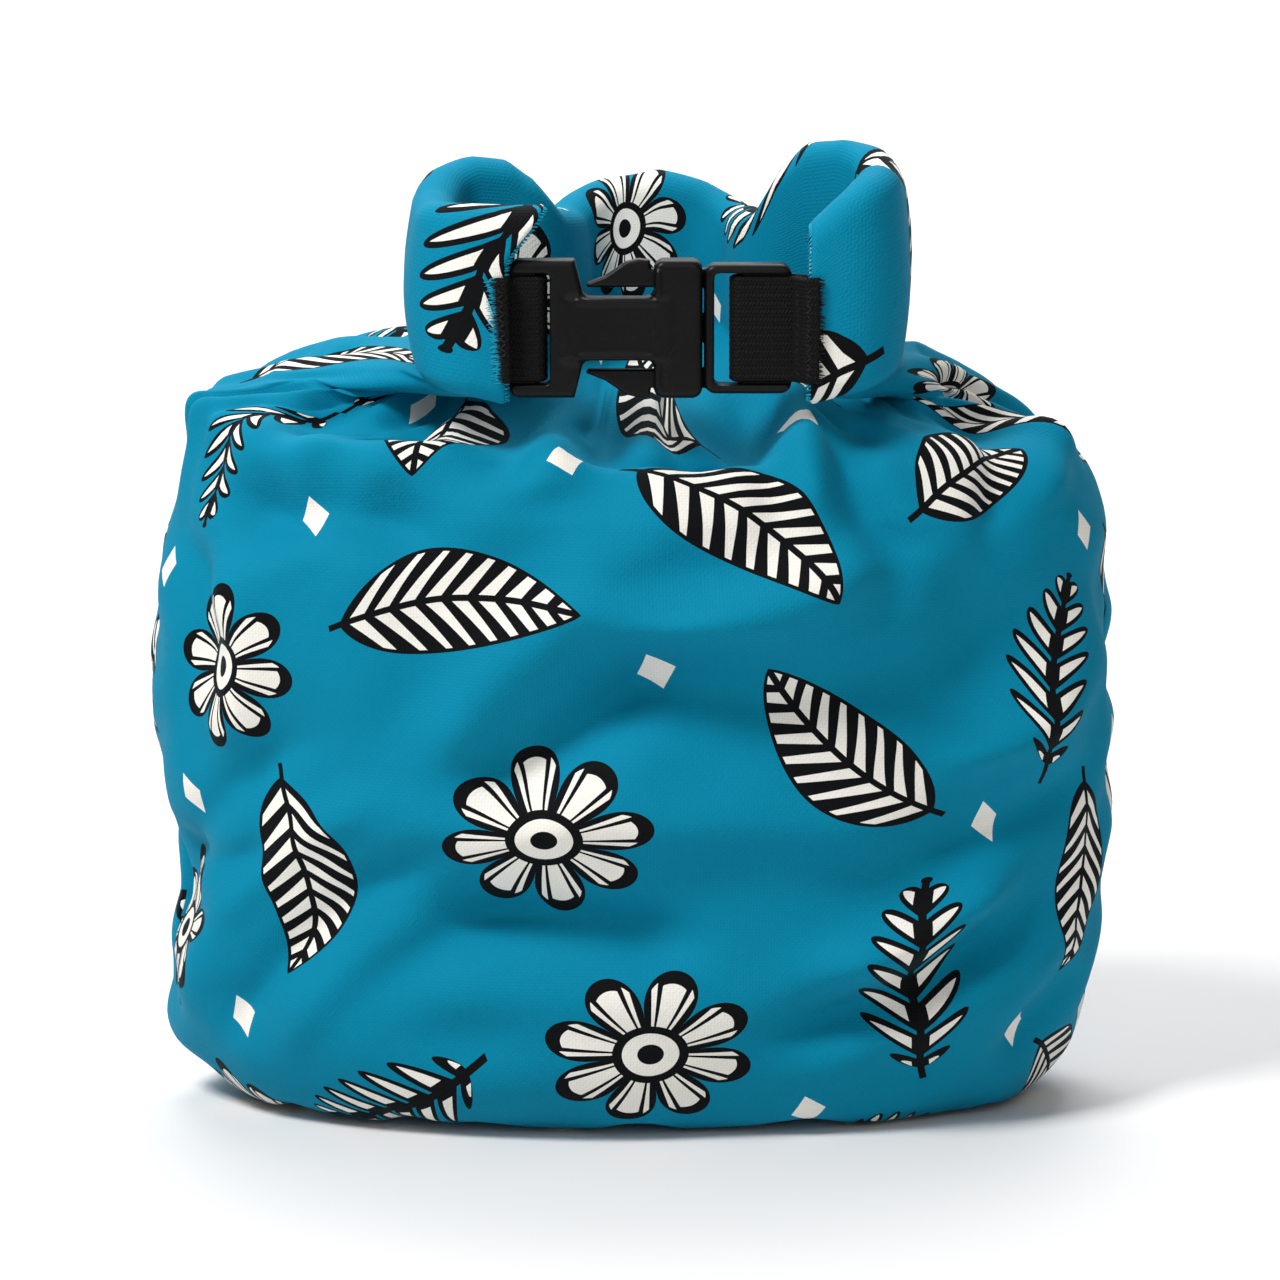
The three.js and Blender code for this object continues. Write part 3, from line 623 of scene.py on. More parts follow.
def clothMesh(name, grid, shares, face):
    rows, columns = grid.shape[:2]
    along = np.linalg.norm(np.diff(grid, axis=0), axis=2).mean(axis=1)
    v = np.concatenate([[grid[0, :, :2].std()], along]).cumsum()
    flat = pouch["flatHalf"]
    backFrom = flat + printLayout["backShift"]
    u = np.where(face <= 0, shares * flat, flat - shares * flat + backFrom)
    uFrom = np.where((face == 0) & (shares > 0), backFrom, u)
    uTo = np.append(u[1:], 2 * flat + backFrom)
    vertices = np.concatenate([grid.reshape(-1, 3), grid[0].mean(axis=0)[None]]) * mm
    faces = ringFaces(rows, columns)
    uvs = []
    for k in range(rows - 1):
        for i in range(columns):
            uvs += [(uFrom[i], v[k]), (uTo[i], v[k]), (uTo[i], v[k + 1]), (uFrom[i], v[k + 1])]
    for i in range(columns):
        faces.append((rows * columns, (i + 1) % columns, i))
        uvs += [((uFrom[i] + uTo[i]) / 2, 0), (uTo[i], v[0]), (uFrom[i], v[0])]
    # The last row closes flat, front to back
    half = columns // 2
    top = (rows - 1) * columns
    for i in range(half):
        a, b = top + i, top + i + 1
        c, d = top + (columns - i - 1) % columns, top + (columns - i) % columns
        corners = [a, b, c, d] if i else [a, b, c]
        if i == half - 1:
            corners = [a, b, d]
        faces.append(tuple(corners))
        uvs += [(u[corner - top], v[-1]) for corner in corners]
    piece = newPiece(name, vertices, faces)
    layer = piece.data.uv_layers.new(name="flat_cloth")
    layer.data.foreach_set("uv", (np.array(uvs) * mm).ravel())
    piece.data.validate()
    return piece


# Settling: the stuffed pouch as pressed cloth cut a little too large, held at the roll and the floor
settling = {
    "everyColumn": 3,
    "everyRow": 3,
    "spare": 0.09,
    "pressure": 1.0,
    "frames": 20,
    "cap": 6.5,  # the furthest that a point may move, in millimetres
    "holdRows": 7,
    "easeRows": 4,  # rows below these, held in part
    "easeHold": 0.35,
    "smoothing": 260,  # rounds that take the broad shape out of the moves
    "cloth": {
        "quality": 6,
        "mass": 0.2,
        "tension_stiffness": 20,
        "compression_stiffness": 20,
        "shear_stiffness": 8,
        "bending_stiffness": 0.08,
    },
}


def filledIn(values, marks, count):
    # Values known at marks along the first axis, read at every whole place
    lines = values.reshape(len(values), -1).T
    filled = [np.interp(np.arange(count), marks, line) for line in lines]
    return np.stack(filled, axis=1).reshape(count, *values.shape[1:])


def settled(grid, pouchRows, setup):
    # How far each point of the grid moves when its coarse copy settles, in millimetres
    columns = grid.shape[1]
    rowsAt = np.unique(np.append(np.arange(0, pouchRows - 1, setup["everyRow"]), pouchRows - 1))
    columnsAt = np.arange(0, columns, setup["everyColumn"])
    coarse = grid[rowsAt][:, columnsAt]
    high, wide = coarse.shape[:2]
    points = np.concatenate([coarse.reshape(-1, 3), coarse[0].mean(axis=0)[None]]) * mm
    faces = [(high * wide, (i + 1) % wide, i) for i in range(wide)] + ringFaces(high, wide)
    copy = newPiece("settling", points, faces)
    held = copy.vertex_groups.new(name="held")
    firstHeld = (high - setup["holdRows"]) * wide
    onFloor = [i for i in range(len(points)) if points[i][2] < 0.0015]
    held.add(onFloor + list(range(firstHeld, high * wide)), 1.0, "REPLACE")
    held.add(list(range(firstHeld - setup["easeRows"] * wide, firstHeld)), setup["easeHold"], "REPLACE")
    cloth = copy.modifiers.new("cloth", "CLOTH")
    cloth.point_cache.frame_start = 1
    cloth.point_cache.frame_end = setup["frames"]
    for name, value in setup["cloth"].items():
        setattr(cloth.settings, name, value)
    cloth.settings.use_pressure = True
    cloth.settings.uniform_pressure_force = setup["pressure"]
    cloth.settings.shrink_min = -setup["spare"]
    cloth.settings.shrink_max = -setup["spare"]
    cloth.settings.vertex_group_mass = "held"
    cloth.settings.effector_weights.gravity = 0.1
    for step in range(1, setup["frames"] + 1):
        bpy.context.scene.frame_set(step)
    shown = copy.evaluated_get(bpy.context.evaluated_depsgraph_get())
    after = np.empty(len(points) * 3)
    shown.data.vertices.foreach_get("co", after)
    bpy.context.scene.frame_set(1)
    bpy.data.objects.remove(copy)
    move = (after.reshape(-1, 3)[:-1] / mm).reshape(high, wide, 3) - coarse
    size = np.linalg.norm(move, axis=2)[:, :, None]
    print("settling moves, in mm: mean", round(float(size.mean()), 2), "most", round(float(size.max()), 2))
    move *= setup["cap"] * np.tanh(size / setup["cap"]) / np.maximum(size, 1e-6)
    wrapped = np.concatenate([move, move[:, :1]], axis=1).transpose(1, 0, 2)
    byColumn = filledIn(wrapped, np.append(columnsAt, columns), columns).transpose(1, 0, 2)
    byRow = np.zeros((len(grid), columns, 3))
    byRow[:pouchRows] = filledIn(byColumn, rowsAt, pouchRows)
    # Only the creases are kept: the broad shape stays where the pouch's own sections put it
    byRow[:pouchRows] -= smoothGrid(byRow[:pouchRows], setup["smoothing"])
    return smoothGrid(byRow, 3)


# Print: striped leaves, fronds and rosettes scattered over the cloth, with small diamonds between
printLayout = {
    "cell": 59.0,
    "turn": 17.0,  # degrees the layout is turned on the cloth
    "jitter": 4.0,
    "seeds": (3.7, 9.1),  # of the motifs and of the diamonds
    "shares": (0.4, 0.74),  # leaves up to the first, fronds up to the second, then rosettes
    "leafLength": 25.0,  # half length
    "leafWidth": 12.0,  # half width
    "veinStep": 5.4,
    "frondWidth": 13.0,
    "leafletStep": 7.4,
    "petals": 8,
    "petalReach": (9.0, 12.0),  # between the petals, and how much further along them
    "diamond": (4.0, 5.6),  # half width and half height
    "backShift": 33.0,  # the back is cut from another place of the printed cloth
}


def makePrint(layout):
    group, g, given, out = nodeGroup("cloth_print", ("Across", "Along"), ("Dark", "Light"))
    cell = layout["cell"]
    jitter = layout["jitter"]
    cosine = math.cos(math.radians(layout["turn"]))
    sine = math.sin(math.radians(layout["turn"]))
    u = given["Across"] * cosine + given["Along"] * sine
    v = given["Along"] * cosine - given["Across"] * sine

    def chance(atU, atV, seed):
        place = g.out("ShaderNodeCombineXYZ", {0: atU, 1: atV, 2: seed})
        return g.node("ShaderNodeTexWhiteNoise", {0: place}, noise_dimensions="3D").outputs

    cellU = g.math("FLOOR", u / cell)
    cellV = g.math("FLOOR", v / cell)
    draw = chance(cellU, cellV, layout["seeds"][0])
    drawU, drawV, kind = [g.out("ShaderNodeSeparateColor", {0: draw["Color"]}, i) for i in range(3)]
    middle = (cell + jitter) / 2
    x0 = u - cellU * cell - (middle - drawU * jitter)
    y0 = v - cellV * cell - (middle - drawV * jitter)
    turn = Value(g, draw["Value"]) * (2 * math.pi)
    c = g.math("COSINE", turn)
    s = g.math("SINE", turn)
    x = x0 * c + y0 * s
    yStraight = y0 * c - x0 * s
    t = x / layout["leafLength"]
    t2 = t * t
    side = abs(yStraight + (t2 * 4.5 - 1.5))  # from the motif's bent middle line
    bulge = (1.0 - t2) | 0.0

    # Leaf: outline, midrib and slanting veins, with a stem
    room = g.math("POWER", bulge, 0.8) * (1.0 - t * 0.3) * layout["leafWidth"] - side
    inLeaf = room > 0.0
    vein = g.math("FRACT", (x - side * 0.8) / layout["veinStep"])
    veinDark = abs(vein - 0.5) < (side / layout["leafWidth"] * 0.3 + 0.3) * 0.62
    leafDark = inLeaf & (veinDark | (side < 0.75) | (room < 0.9))
    leafDark = leafDark | ((abs(x + 26.0) < 2.6) & (side < 0.8))
    leafLight = inLeaf & (1.0 - leafDark)

    # Frond: paired leaflets, dark with a light core
    reach = side / (g.math("POWER", bulge, 0.55) * layout["frondWidth"] | 0.01)
    q = abs(g.math("FRACT", (x - side * 0.75) / layout["leafletStep"]) - 0.5)
    lobeHalf = g.math("SQRT", (1.0 - reach * reach) | 0.0) * 0.43
    inLobe = (q < lobeHalf) & (reach < 1.0)
    lobeCore = (q < lobeHalf - 0.2) & (side > 2.2)
    spine = (side < 0.95) & (abs(x + 3.5) < 27.0)
    frondDark = (inLobe & (1.0 - lobeCore)) | spine
    frondLight = inLobe & lobeCore & (1.0 - spine)

    # Rosette: petals with a light stripe each, round a ringed heart
    radius = g.math("SQRT", x * x + yStraight * yStraight)
    angle = g.math("ARCTAN2", yStraight, x)
    petal = abs(g.math("COSINE", angle * (layout["petals"] / 2)))
    between, further = layout["petalReach"]
    edge = g.math("POWER", petal, 0.45) * further + between
    inRose = radius < edge
    stripe = (petal > 0.86) & (radius < edge - 3.0)
    fork = (petal < 0.72) & (petal > 0.5) & (radius < edge - 1.6)
    heart = (radius < 5.6) & (radius > 2.6)
    roseLight = inRose & (((stripe | fork) & (radius > 7.5)) | heart)
    roseDark = inRose & (1.0 - roseLight)

    leafTo, frondTo = layout["shares"]
    isLeaf = kind < leafTo
    isFrond = (kind > leafTo) & (kind < frondTo)
    isRose = kind > frondTo
    dark = leafDark * isLeaf + frondDark * isFrond + roseDark * isRose
    light = leafLight * isLeaf + frondLight * isFrond + roseLight * isRose

    # Small diamonds on most corners of the layout
    cornerU = g.math("ROUND", u / cell)
    cornerV = g.math("ROUND", v / cell)
    isThere = Value(g, chance(cornerU, cornerV, layout["seeds"][1])["Value"]) > 0.3
    wide, high = layout["diamond"]
    size = abs(u - cornerU * cell) / wide + abs(v - cornerV * cell) / high
    diamond = (size < 1.0) & isThere
    light = light + (diamond & (1.0 - ((dark + light) & 1.0)))
    g.put(out["Dark"], dark & 1.0)
    g.put(out["Light"], light & 1.0)
    return group


weaveSteps = {"warp": 0.62, "weft": 0.74, "over": 1.24}


def makeWeave(steps):
    # Fine warp and weft of the cloth, as a height for the bump and for painted shade in its hollows
    group, g, given, out = nodeGroup("cloth_weave", ("Across", "Along"), ("Height",))
    warp = g.wave(given["Across"], steps["warp"])
    weft = g.wave(given["Along"], steps["weft"])
    over = g.wave(given["Across"] + given["Along"], steps["over"])
    g.put(out["Height"], warp * over + weft * (1.0 - over))
    return group


clothLook = {
    "ground": (0.0, 0.192, 0.318, 1),
    "groundWorn": (0.0, 0.222, 0.36, 1),
    "dark": (0.0035, 0.0035, 0.0042, 1),
    "light": (0.84, 0.81, 0.745, 1),
    "specular": 0.08,
    "sheen": {"Sheen Weight": 0.06, "Sheen Roughness": 0.4, "Sheen Tint": (0.3, 0.85, 1.0, 1)},
}


def makeCloth(look, printGroup, weaveGroup):
    material, g, shader = principled("printed_cloth")
    flat = g.out("ShaderNodeUVMap", uv_map="flat_cloth")
    across, along = [g.out("ShaderNodeSeparateXYZ", {0: flat}, i) * (1 / mm) for i in range(2)]
    places = {"Across": across, "Along": along}
    inks = g.node("ShaderNodeGroup", places, node_tree=printGroup).outputs
    weave = g.out("ShaderNodeGroup", places, "Height", node_tree=weaveGroup)
    fuzz = g.noise(900.0, 2.0)
    ground = g.blend(g.noise(22.0, 3.0), look["ground"], look["groundWorn"])
    ground = g.blend(inks["Dark"], ground, look["dark"])
    ground = g.blend(inks["Light"], ground, look["light"])
    # Painted shade: the cloth's colour is darker where the weave is low, in the hollows between threads
    shade = g.out("ShaderNodeHueSaturation", {"Value": weave * 0.09 + 0.93, "Color": ground})
    bump = (0.35, 0.2, weave + fuzz * 0.6)
    finishShader(g, shader, shade, fuzz * 0.2 + 0.66, look["specular"], bump)
    for name, value in look["sheen"].items():
        shader.inputs[name].default_value = value
    return material


shares, face, lowerRows, upperRows = bagGrid()
bagRows = wrinkled(shares, face, lowerRows, upperRows)
bagRows = bagRows + settled(bagRows, len(lowerRows), settling)
bagRows[:, :, 2] = np.maximum(bagRows[:, :, 2], 0.0)
print("stage: pouch settled")
bagCloth = clothMesh("bag_cloth", bagRows, shares, face)
print("stage: bag cloth,", len(bagCloth.data.polygons), "faces")
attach(bagCloth, "root")
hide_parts("bag_shell")
bagCloth.data.materials.append(makeCloth(clothLook, makePrint(printLayout), makeWeave(weaveSteps)))
print("stage: cloth material")


def threadMesh(name, paths, radius, sides=5):
    # Thin round threads along many short paths, joined into one mesh
    vertices = []
    faces = []
    angles = [2 * math.pi * i / sides for i in range(sides)]
    for path in paths:
        path = np.array(path, float)
        run = np.gradient(path, axis=0)
        run /= np.maximum(1e-9, np.linalg.norm(run, axis=1))[:, None]
        first = np.cross(run, (0.3, 0.2, 0.93))
        first /= np.linalg.norm(first, axis=1)[:, None]
        second = np.cross(run, first)
        taper = radius * np.sin(np.linspace(0.35, math.pi - 0.35, len(path)))
        start = len(vertices)
        for k in range(len(path)):
            for angle in angles:
                ring = math.cos(angle) * first[k] + math.sin(angle) * second[k]
                vertices.append((path[k] + taper[k] * ring) * mm)
        faces += ringFaces(len(path), sides, start)
        faces.append(tuple(range(start, start + sides))[::-1])
        faces.append(tuple(range(len(vertices) - sides, len(vertices))))
    return newPiece(name, vertices, faces)


def makeThread(name, colour):
    material, g, shader = principled(name)
    fibre = g.noise(3000.0, 2.0)
    lighter = tuple(min(1, 0.02 + 1.5 * part) for part in colour[:3]) + (1,)
    finishShader(g, shader, g.blend(fibre, colour, lighter), fibre * 0.25 + 0.6, 0.12, (0.4, 0.1, fibre))
    return material


# Roll ends: overlock stitches over the cut edges of the outer ply
hemStitches = {
    "spacing": 0.95,
    "slip": (0.2, 0.7),
    "reach": 2.4,
    "threadRadius": 0.27,
    "colour": (0.002, 0.24, 0.36, 1),
    # half of a stitch up to the edge: share of the reach, then how proud and how far out of the edge
    "half": ((1.0, 0.108, 0.0), (0.55, 0.396, 0.0), (0.12, 0.288, 0.35)),
    "overEdge": 0.75,
}


def hemPaths(seamColumn, seed, setup):
    # Stitches over the seam edge of the roll's outer ply, from its top round to its foot
    draw = np.random.default_rng(seed)
    first = len(lowerRows) + rollSteps["inside"]
    rows = slice(first, first + rollSteps["top"] + rollSteps["outside"] + rollSteps["foot"] + 1)
    columns = bagRows.shape[1]
    inward = len(clothGrid["seamColumns"]) + 1
    edge, inwardA, inwardB = [bagRows[rows, (seamColumn + i) % columns] for i in (0, inward, -inward)]
    walked = lengthsAlong(edge)
    paths = []
    at = 0.4
    while at < walked[-1] - 0.4:
        spot = at + draw.uniform(-0.15, 0.15)
        slip = draw.uniform(*setup["slip"])

        def pick(line, offset):
            return np.array([np.interp(spot + offset, walked, line[:, i]) for i in range(3)])

        middle = pick(edge, 0)
        a = pick(inwardA, slip)
        b = pick(inwardB, -slip)
        reach = setup["reach"] * draw.uniform(0.75, 1.25)
        toA = (a - middle) * reach / np.linalg.norm(a - middle)
        toB = (b - middle) * reach / np.linalg.norm(b - middle)
        out = -(toA + toB)
        out /= max(1e-6, np.linalg.norm(out))
        across = (a - b) / max(1e-6, np.linalg.norm(a - b))
        up = [middle + toA * far + across * proud + out * over for far, proud, over in setup["half"]]
        down = [middle + toB * far - across * proud + out * over for far, proud, over in setup["half"]]
        paths.append(up + [middle + out * setup["overEdge"]] + down[::-1])
        at += setup["spacing"]
    return paths


hemThread = makeThread("hem_thread", hemStitches["colour"])
halfWay = bagRows.shape[1] // 2
for side, seamColumn in (("left", 0), ("right", halfWay)):
    paths = hemPaths(seamColumn, 40 + seamColumn, hemStitches)
    stitches = threadMesh("hem_stitches_" + side, paths, hemStitches["threadRadius"])
    stitches.data.materials.append(hemThread)
    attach(stitches, "root")
print("stage: hem stitches")

# Buckle sizes, in millimetres from the joint between its two halves
hardware = {
    "jointX": roll["shift"] + 10.5,
    "height": pouch["shoulder"] + 6.7,
    "socketLength": 45.5,
    "sleeveLength": 11.5,
    "barEndLength": 17.0,
    "buckleHeight": 32.6,
    "buckleThickness": 9.0,
    "barWidth": 6.4,
    "barThickness": 3.6,
    "slotWidth": 3.2,
    "slotHeight": 26.3,
    "tongueHeight": 14.6,
    "prongBaseLength": 21.0,
    "prongBaseHeight": 30.6,
    "prongThickness": 4.6,
    "prongSlotFrom": 2.75,
    "prongSlotTo": 8.95,
    "armReach": 27.0,
    "guideLength": 24.0,
    "guideHeight": 6.4,
    "gridStep": 0.3,
}
half = roll["mouth"] / 2
endsX, endsY = middleLine(1.0, half, half, np.array([-1.0, 1.0]))[:2]
bucklePlane = endsY[0] - (roll["webbing"] + roll["clearance"] - roll["gap"] / 2)
joint = (hardware["jointX"] * mm, bucklePlane * mm, hardware["height"] * mm)
jointPlace = Matrix.Translation(joint)


def rounded(a, b, radius):
    # Where two distances meet in a rounded corner
    return np.hypot(np.maximum(a, 0), np.maximum(b, 0)) + np.minimum(np.maximum(a, b), 0) - radius


def plateField(x, z, x0, x1, half, radius):
    # Signed distance to a rounded rectangle from x0 to x1, as high above the middle as below it
    return rounded(np.abs(x - (x0 + x1) / 2) - (x1 - x0) / 2 + radius, np.abs(z) - half + radius, radius)


def slab(flat, y, thickness, rounding):
    # A flat outline given thickness about the middle plane, its edges rounded
    return rounded(flat + rounding, np.abs(y) - thickness / 2 + rounding, rounding)


def fromLine(x, z, a, b):
    # Offset of each point from the straight line that joins a and b
    ex, ez = b[0] - a[0], b[1] - a[1]
    t = np.clip(((x - a[0]) * ex + (z - a[1]) * ez) / (ex * ex + ez * ez), 0, 1)
    return x - a[0] - t * ex, z - a[1] - t * ez


def polygonField(x, z, points):
    # Signed distance to a polygon
    distance = np.full(x.shape, 1e9)
    inside = np.zeros(x.shape, bool)
    for i, (ax, az) in enumerate(points):
        bx, bz = points[(i + 1) % len(points)]
        distance = np.minimum(distance, np.hypot(*fromLine(x, z, (ax, az), (bx, bz))))
        slope = bz - az
        meets = ax + (z - az) / (slope if abs(slope) > 1e-9 else 1e-9) * (bx - ax)
        inside ^= ((az > z) != (bz > z)) & (x < meets)
    return np.where(inside, -distance, distance)


def ridge(x, y, z, a, b, front, radius):
    # A raised bead on the front face from a to b, as a capsule
    dx, dz = fromLine(x, z, a, b)
    return np.sqrt(dx ** 2 + dz ** 2 + (y - front) ** 2) - radius


def blendUnion(a, b, width):
    h = np.clip(0.5 + 0.5 * (b - a) / width, 0, 1)
    return b * (1 - h) + a * h - width * h * (1 - h)


def blendCut(a, b, width):
    return -blendUnion(-a, b, width)


def netMesh(name, field, low, step):
    # Surface where the field is zero, as a mesh of quads with one vertex in each crossed cell
    inside = field < 0
    total = np.zeros(field.shape + (3,))
    count = np.zeros(field.shape)
    crossings = []

    def shifted(at, u, v, du, dv):
        cell = at.copy()
        cell[:, u] += du
        cell[:, v] += dv
        return tuple(cell.T)

    for axis in range(3):
        u, v = (axis + 1) % 3, (axis + 2) % 3
        lower = tuple(slice(None, -1) if i == axis else slice(None) for i in range(3))
        upper = tuple(slice(1, None) if i == axis else slice(None) for i in range(3))
        crossed = inside[lower] != inside[upper]
        at = np.argwhere(crossed)
        f0 = field[lower][crossed]
        f1 = field[upper][crossed]
        spot = at.astype(float)
        spot[:, axis] += f0 / (f0 - f1)
        for du in (0, -1):
            for dv in (0, -1):
                cell = shifted(at, u, v, du, dv)
                np.add.at(total, cell, spot)
                np.add.at(count, cell, 1)
        crossings.append((u, v, at, inside[lower][crossed]))
    used = count > 0
    index = np.full(field.shape, -1)
    index[used] = np.arange(used.sum())
    vertices = total[used] / count[used][:, None] * step + np.array(low)
    quads = []
    for u, v, at, solid in crossings:
        around = ((-1, -1), (0, -1), (0, 0), (-1, 0))
        quad = np.stack([index[shifted(at, u, v, du, dv)] for du, dv in around], axis=1)
        quad[~solid] = quad[~solid][:, ::-1]
        quads.append(quad)
    return newPiece(name, vertices * mm, np.concatenate(quads).tolist())


def fieldGrid(low, high, step):
    axes = [np.arange(low[i], high[i] + step, step) for i in range(3)]
    return np.meshgrid(*axes, indexing="ij")


def cutForBand(body, y, slot, beside, h):
    # The band's slot through the plate, and the bar made thinner beside it
    body = blendCut(body, slab(slot, y, h["buckleThickness"], 0.2), 0.7)
    return blendCut(body, np.maximum(beside, h["barThickness"] / 2 - np.abs(y)), 0.6)


def makeSocket(h):
    half = h["buckleHeight"] / 2
    thick = h["buckleThickness"]
    start = -h["socketLength"]
    mouth = -h["sleeveLength"]
    low = (start - 1.5, -thick / 2 - 1.2, -half - 1.2)
    high = (1.2, thick / 2 + 1.2, half + 1.2)
    x, y, z = fieldGrid(low, high, h["gridStep"])
    plate = partial(plateField, x, z)
    tongueStart = start + h["barEndLength"]
    tongueHalf = h["tongueHeight"] / 2
    slotFrom = start + h["barWidth"]
    slotHalf = h["slotHeight"] / 2
    # Bar end with its sloping shoulders, tongue and sleeve
    block = [
        (start, half), (tongueStart - 1.6, half),
        (tongueStart - 0.2, half - 5.5), (tongueStart + 0.4, half - 8.5),
    ]
    block += [(cornerX, -cornerZ) for cornerX, cornerZ in block[::-1]]
    barFlat = np.maximum(polygonField(x, z, block), plate(start, tongueStart + 9, half, 2.6))
    barEnd = slab(barFlat, y, thick - 1.6, 1.5)
    tongue = slab(plate(tongueStart - 4, mouth + 4, tongueHalf, 1.0), y, thick - 0.6, 1.4)
    sleeve = slab(plate(mouth, 0, half, 2.6), y, thick, 1.7)
    body = blendUnion(blendUnion(barEnd, tongue, 2.2), sleeve, 2.2)
    # Raised beads along the tongue and lips across the sleeve
    front = -(thick - 0.6) / 2
    for side in (-1, 1):
        beadZ = side * (tongueHalf - 0.8)
        bead = ridge(x, y, z, (tongueStart - 0.5, beadZ), (mouth + 1.5, beadZ), front + 0.25, 0.75)
        body = blendUnion(body, bead, 0.7)
        lipFrom = (mouth + 1.1, side * (tongueHalf + 1.2))
        lipTo = (mouth + 1.1, side * (half - 3))
        body = blendUnion(body, ridge(x, y, z, lipFrom, lipTo, -thick / 2 + 0.3, 0.7), 0.6)
    slot = plate(slotFrom, slotFrom + h["slotWidth"], slotHalf, 1.2)
    body = cutForBand(body, y, slot, plate(start - 6, slotFrom + 0.6, slotHalf, 0.8), h)
    # Room for the arms and the guide
    room = h["prongThickness"] + 0.1
    hollow = slab(plate(mouth - 2, 4, half - 1.8, 0.4), y, room, 0.2)
    hollow = np.maximum(hollow, -plate(mouth - 6, mouth - 0.1, tongueHalf, 0.1))
    guide = plate(-h["guideLength"] - 0.4, 3, h["guideHeight"] / 2 + 0.35, 0.5)
    body = blendCut(body, np.minimum(hollow, slab(guide, y, room, 0.2)), 0.5)
    return netMesh("buckle_socket_moulding", body, low, h["gridStep"])


def makeProng(h):
    half = h["buckleHeight"] / 2
    thick = h["buckleThickness"]
    low = (-h["armReach"] - 1.5, -thick / 2 - 1.0, -half - 1.2)
    high = (h["prongBaseLength"] + 1.5, thick / 2 + 1.0, half + 1.2)
    x, y, z = fieldGrid(low, high, h["gridStep"])
    plate = partial(plateField, x, z)
    near = roll["clearance"]
    slotHalf = h["slotHeight"] / 2
    base = plate(near, h["prongBaseLength"], h["prongBaseHeight"] / 2, 2.8)
    slot = plate(h["prongSlotFrom"], h["prongSlotTo"], slotHalf, 1.3)
    beside = plate(h["prongSlotTo"] - 0.6, h["prongBaseLength"] + 6, slotHalf, 0.8)
    base = cutForBand(slab(base, y, thick - 1.6, 1.5), y, slot, beside, h)
    # Springy arms with their catches, and the middle guide
    reach = h["armReach"]
    sleeve = h["sleeveLength"]
    outer = half - 2.2
    inner = outer - 4.4
    arm = [
        (0.5, inner), (0.5, outer), (-sleeve - 0.6, outer), (-sleeve - 0.9, half - 0.2),
        (-sleeve - 3.5, half + 0.1), (-sleeve - 6.5, half - 0.6), (-reach + 4, outer - 1.8),
        (-reach - 0.4, inner + 0.9), (-reach, inner),
    ]
    flat = h["prongThickness"] - 0.6
    arms = slab(polygonField(x, np.abs(z), arm), y, flat, 0.8)
    guide = slab(plate(-h["guideLength"], near + 1.2, h["guideHeight"] / 2, 0.8), y, flat, 0.7)
    body = blendUnion(base, np.minimum(arms, guide), 0.8)
    return netMesh("buckle_prong_moulding", body, low, h["gridStep"])


plasticLook = {
    "dark": (0.002, 0.002, 0.0021, 1),
    "pale": (0.0045, 0.0043, 0.004, 1),
    "scuff": (0.02, 0.02, 0.02, 1),
    "scuffShare": 0.2,
    "scuffWidth": 0.012,
    "roughness": 0.26,
    "specular": 0.16,
}


def makePlastic(look):
    material, g, shader = principled("moulded_plastic")
    grain = g.noise(1900.0, 3.0)
    cloudy = g.noise(70.0, 3.0)
    toEdge = {"feature": "DISTANCE_TO_EDGE"}
    scuffed = g.onObject("ShaderNodeTexVoronoi", 420.0, "Distance", toEdge) < look["scuffWidth"]
    tone = g.blend(cloudy, look["dark"], look["pale"])
    tone = g.blend(scuffed * look["scuffShare"], tone, look["scuff"])
    rough = cloudy * 0.12 + look["roughness"] + grain * 0.1
    finishShader(g, shader, tone, rough, look["specular"], (0.25, 0.08, grain))
    return material


plasticMaterial = makePlastic(plasticLook)
for piece, node in ((makeSocket(hardware), "buckle_socket"), (makeProng(hardware), "buckle_prong")):
    piece.data.transform(jointPlace)
    piece.data.materials.append(plasticMaterial)
    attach(piece, "root")
    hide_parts(node)
print("stage: buckle")

# Webbing, in millimetres
webbing = {
    "width": 25.0,
    "tuck": 6.5,  # how far the back tail goes into the roll
    "columns": 61,
    "selvedge": 0.7,  # half thickness of the rounded edge
    "ribStep": 1.9,
    "ribHeight": 0.055,
    "ragged": 0.35,
    "frontPoints": 23,  # points of the path from the bar to the front tail's end
    "tackInset": 1.6,
    "tackStep": 1.15,
    "tackSwing": 0.75,
    "tackRadius": 0.24,
}
tabs = (
    {
        "side": "left", "sign": -1, "seed": 7,
        "barInner": hardware["socketLength"] - hardware["barWidth"],
        "barOuter": hardware["socketLength"],
        "rollEnd": hardware["jointX"] - endsX[0],
        "over": 1.2,  # how far the front tail lies over the roll
        "lean": 0.07,  # slant of its cut end
    },
    {
        "side": "right", "sign": 1, "seed": 8,
        "barInner": hardware["prongSlotTo"],
        "barOuter": hardware["prongBaseLength"],
        "rollEnd": endsX[1] - hardware["jointX"],
        "over": 1.9,
        "lean": 0.0,
    },
)


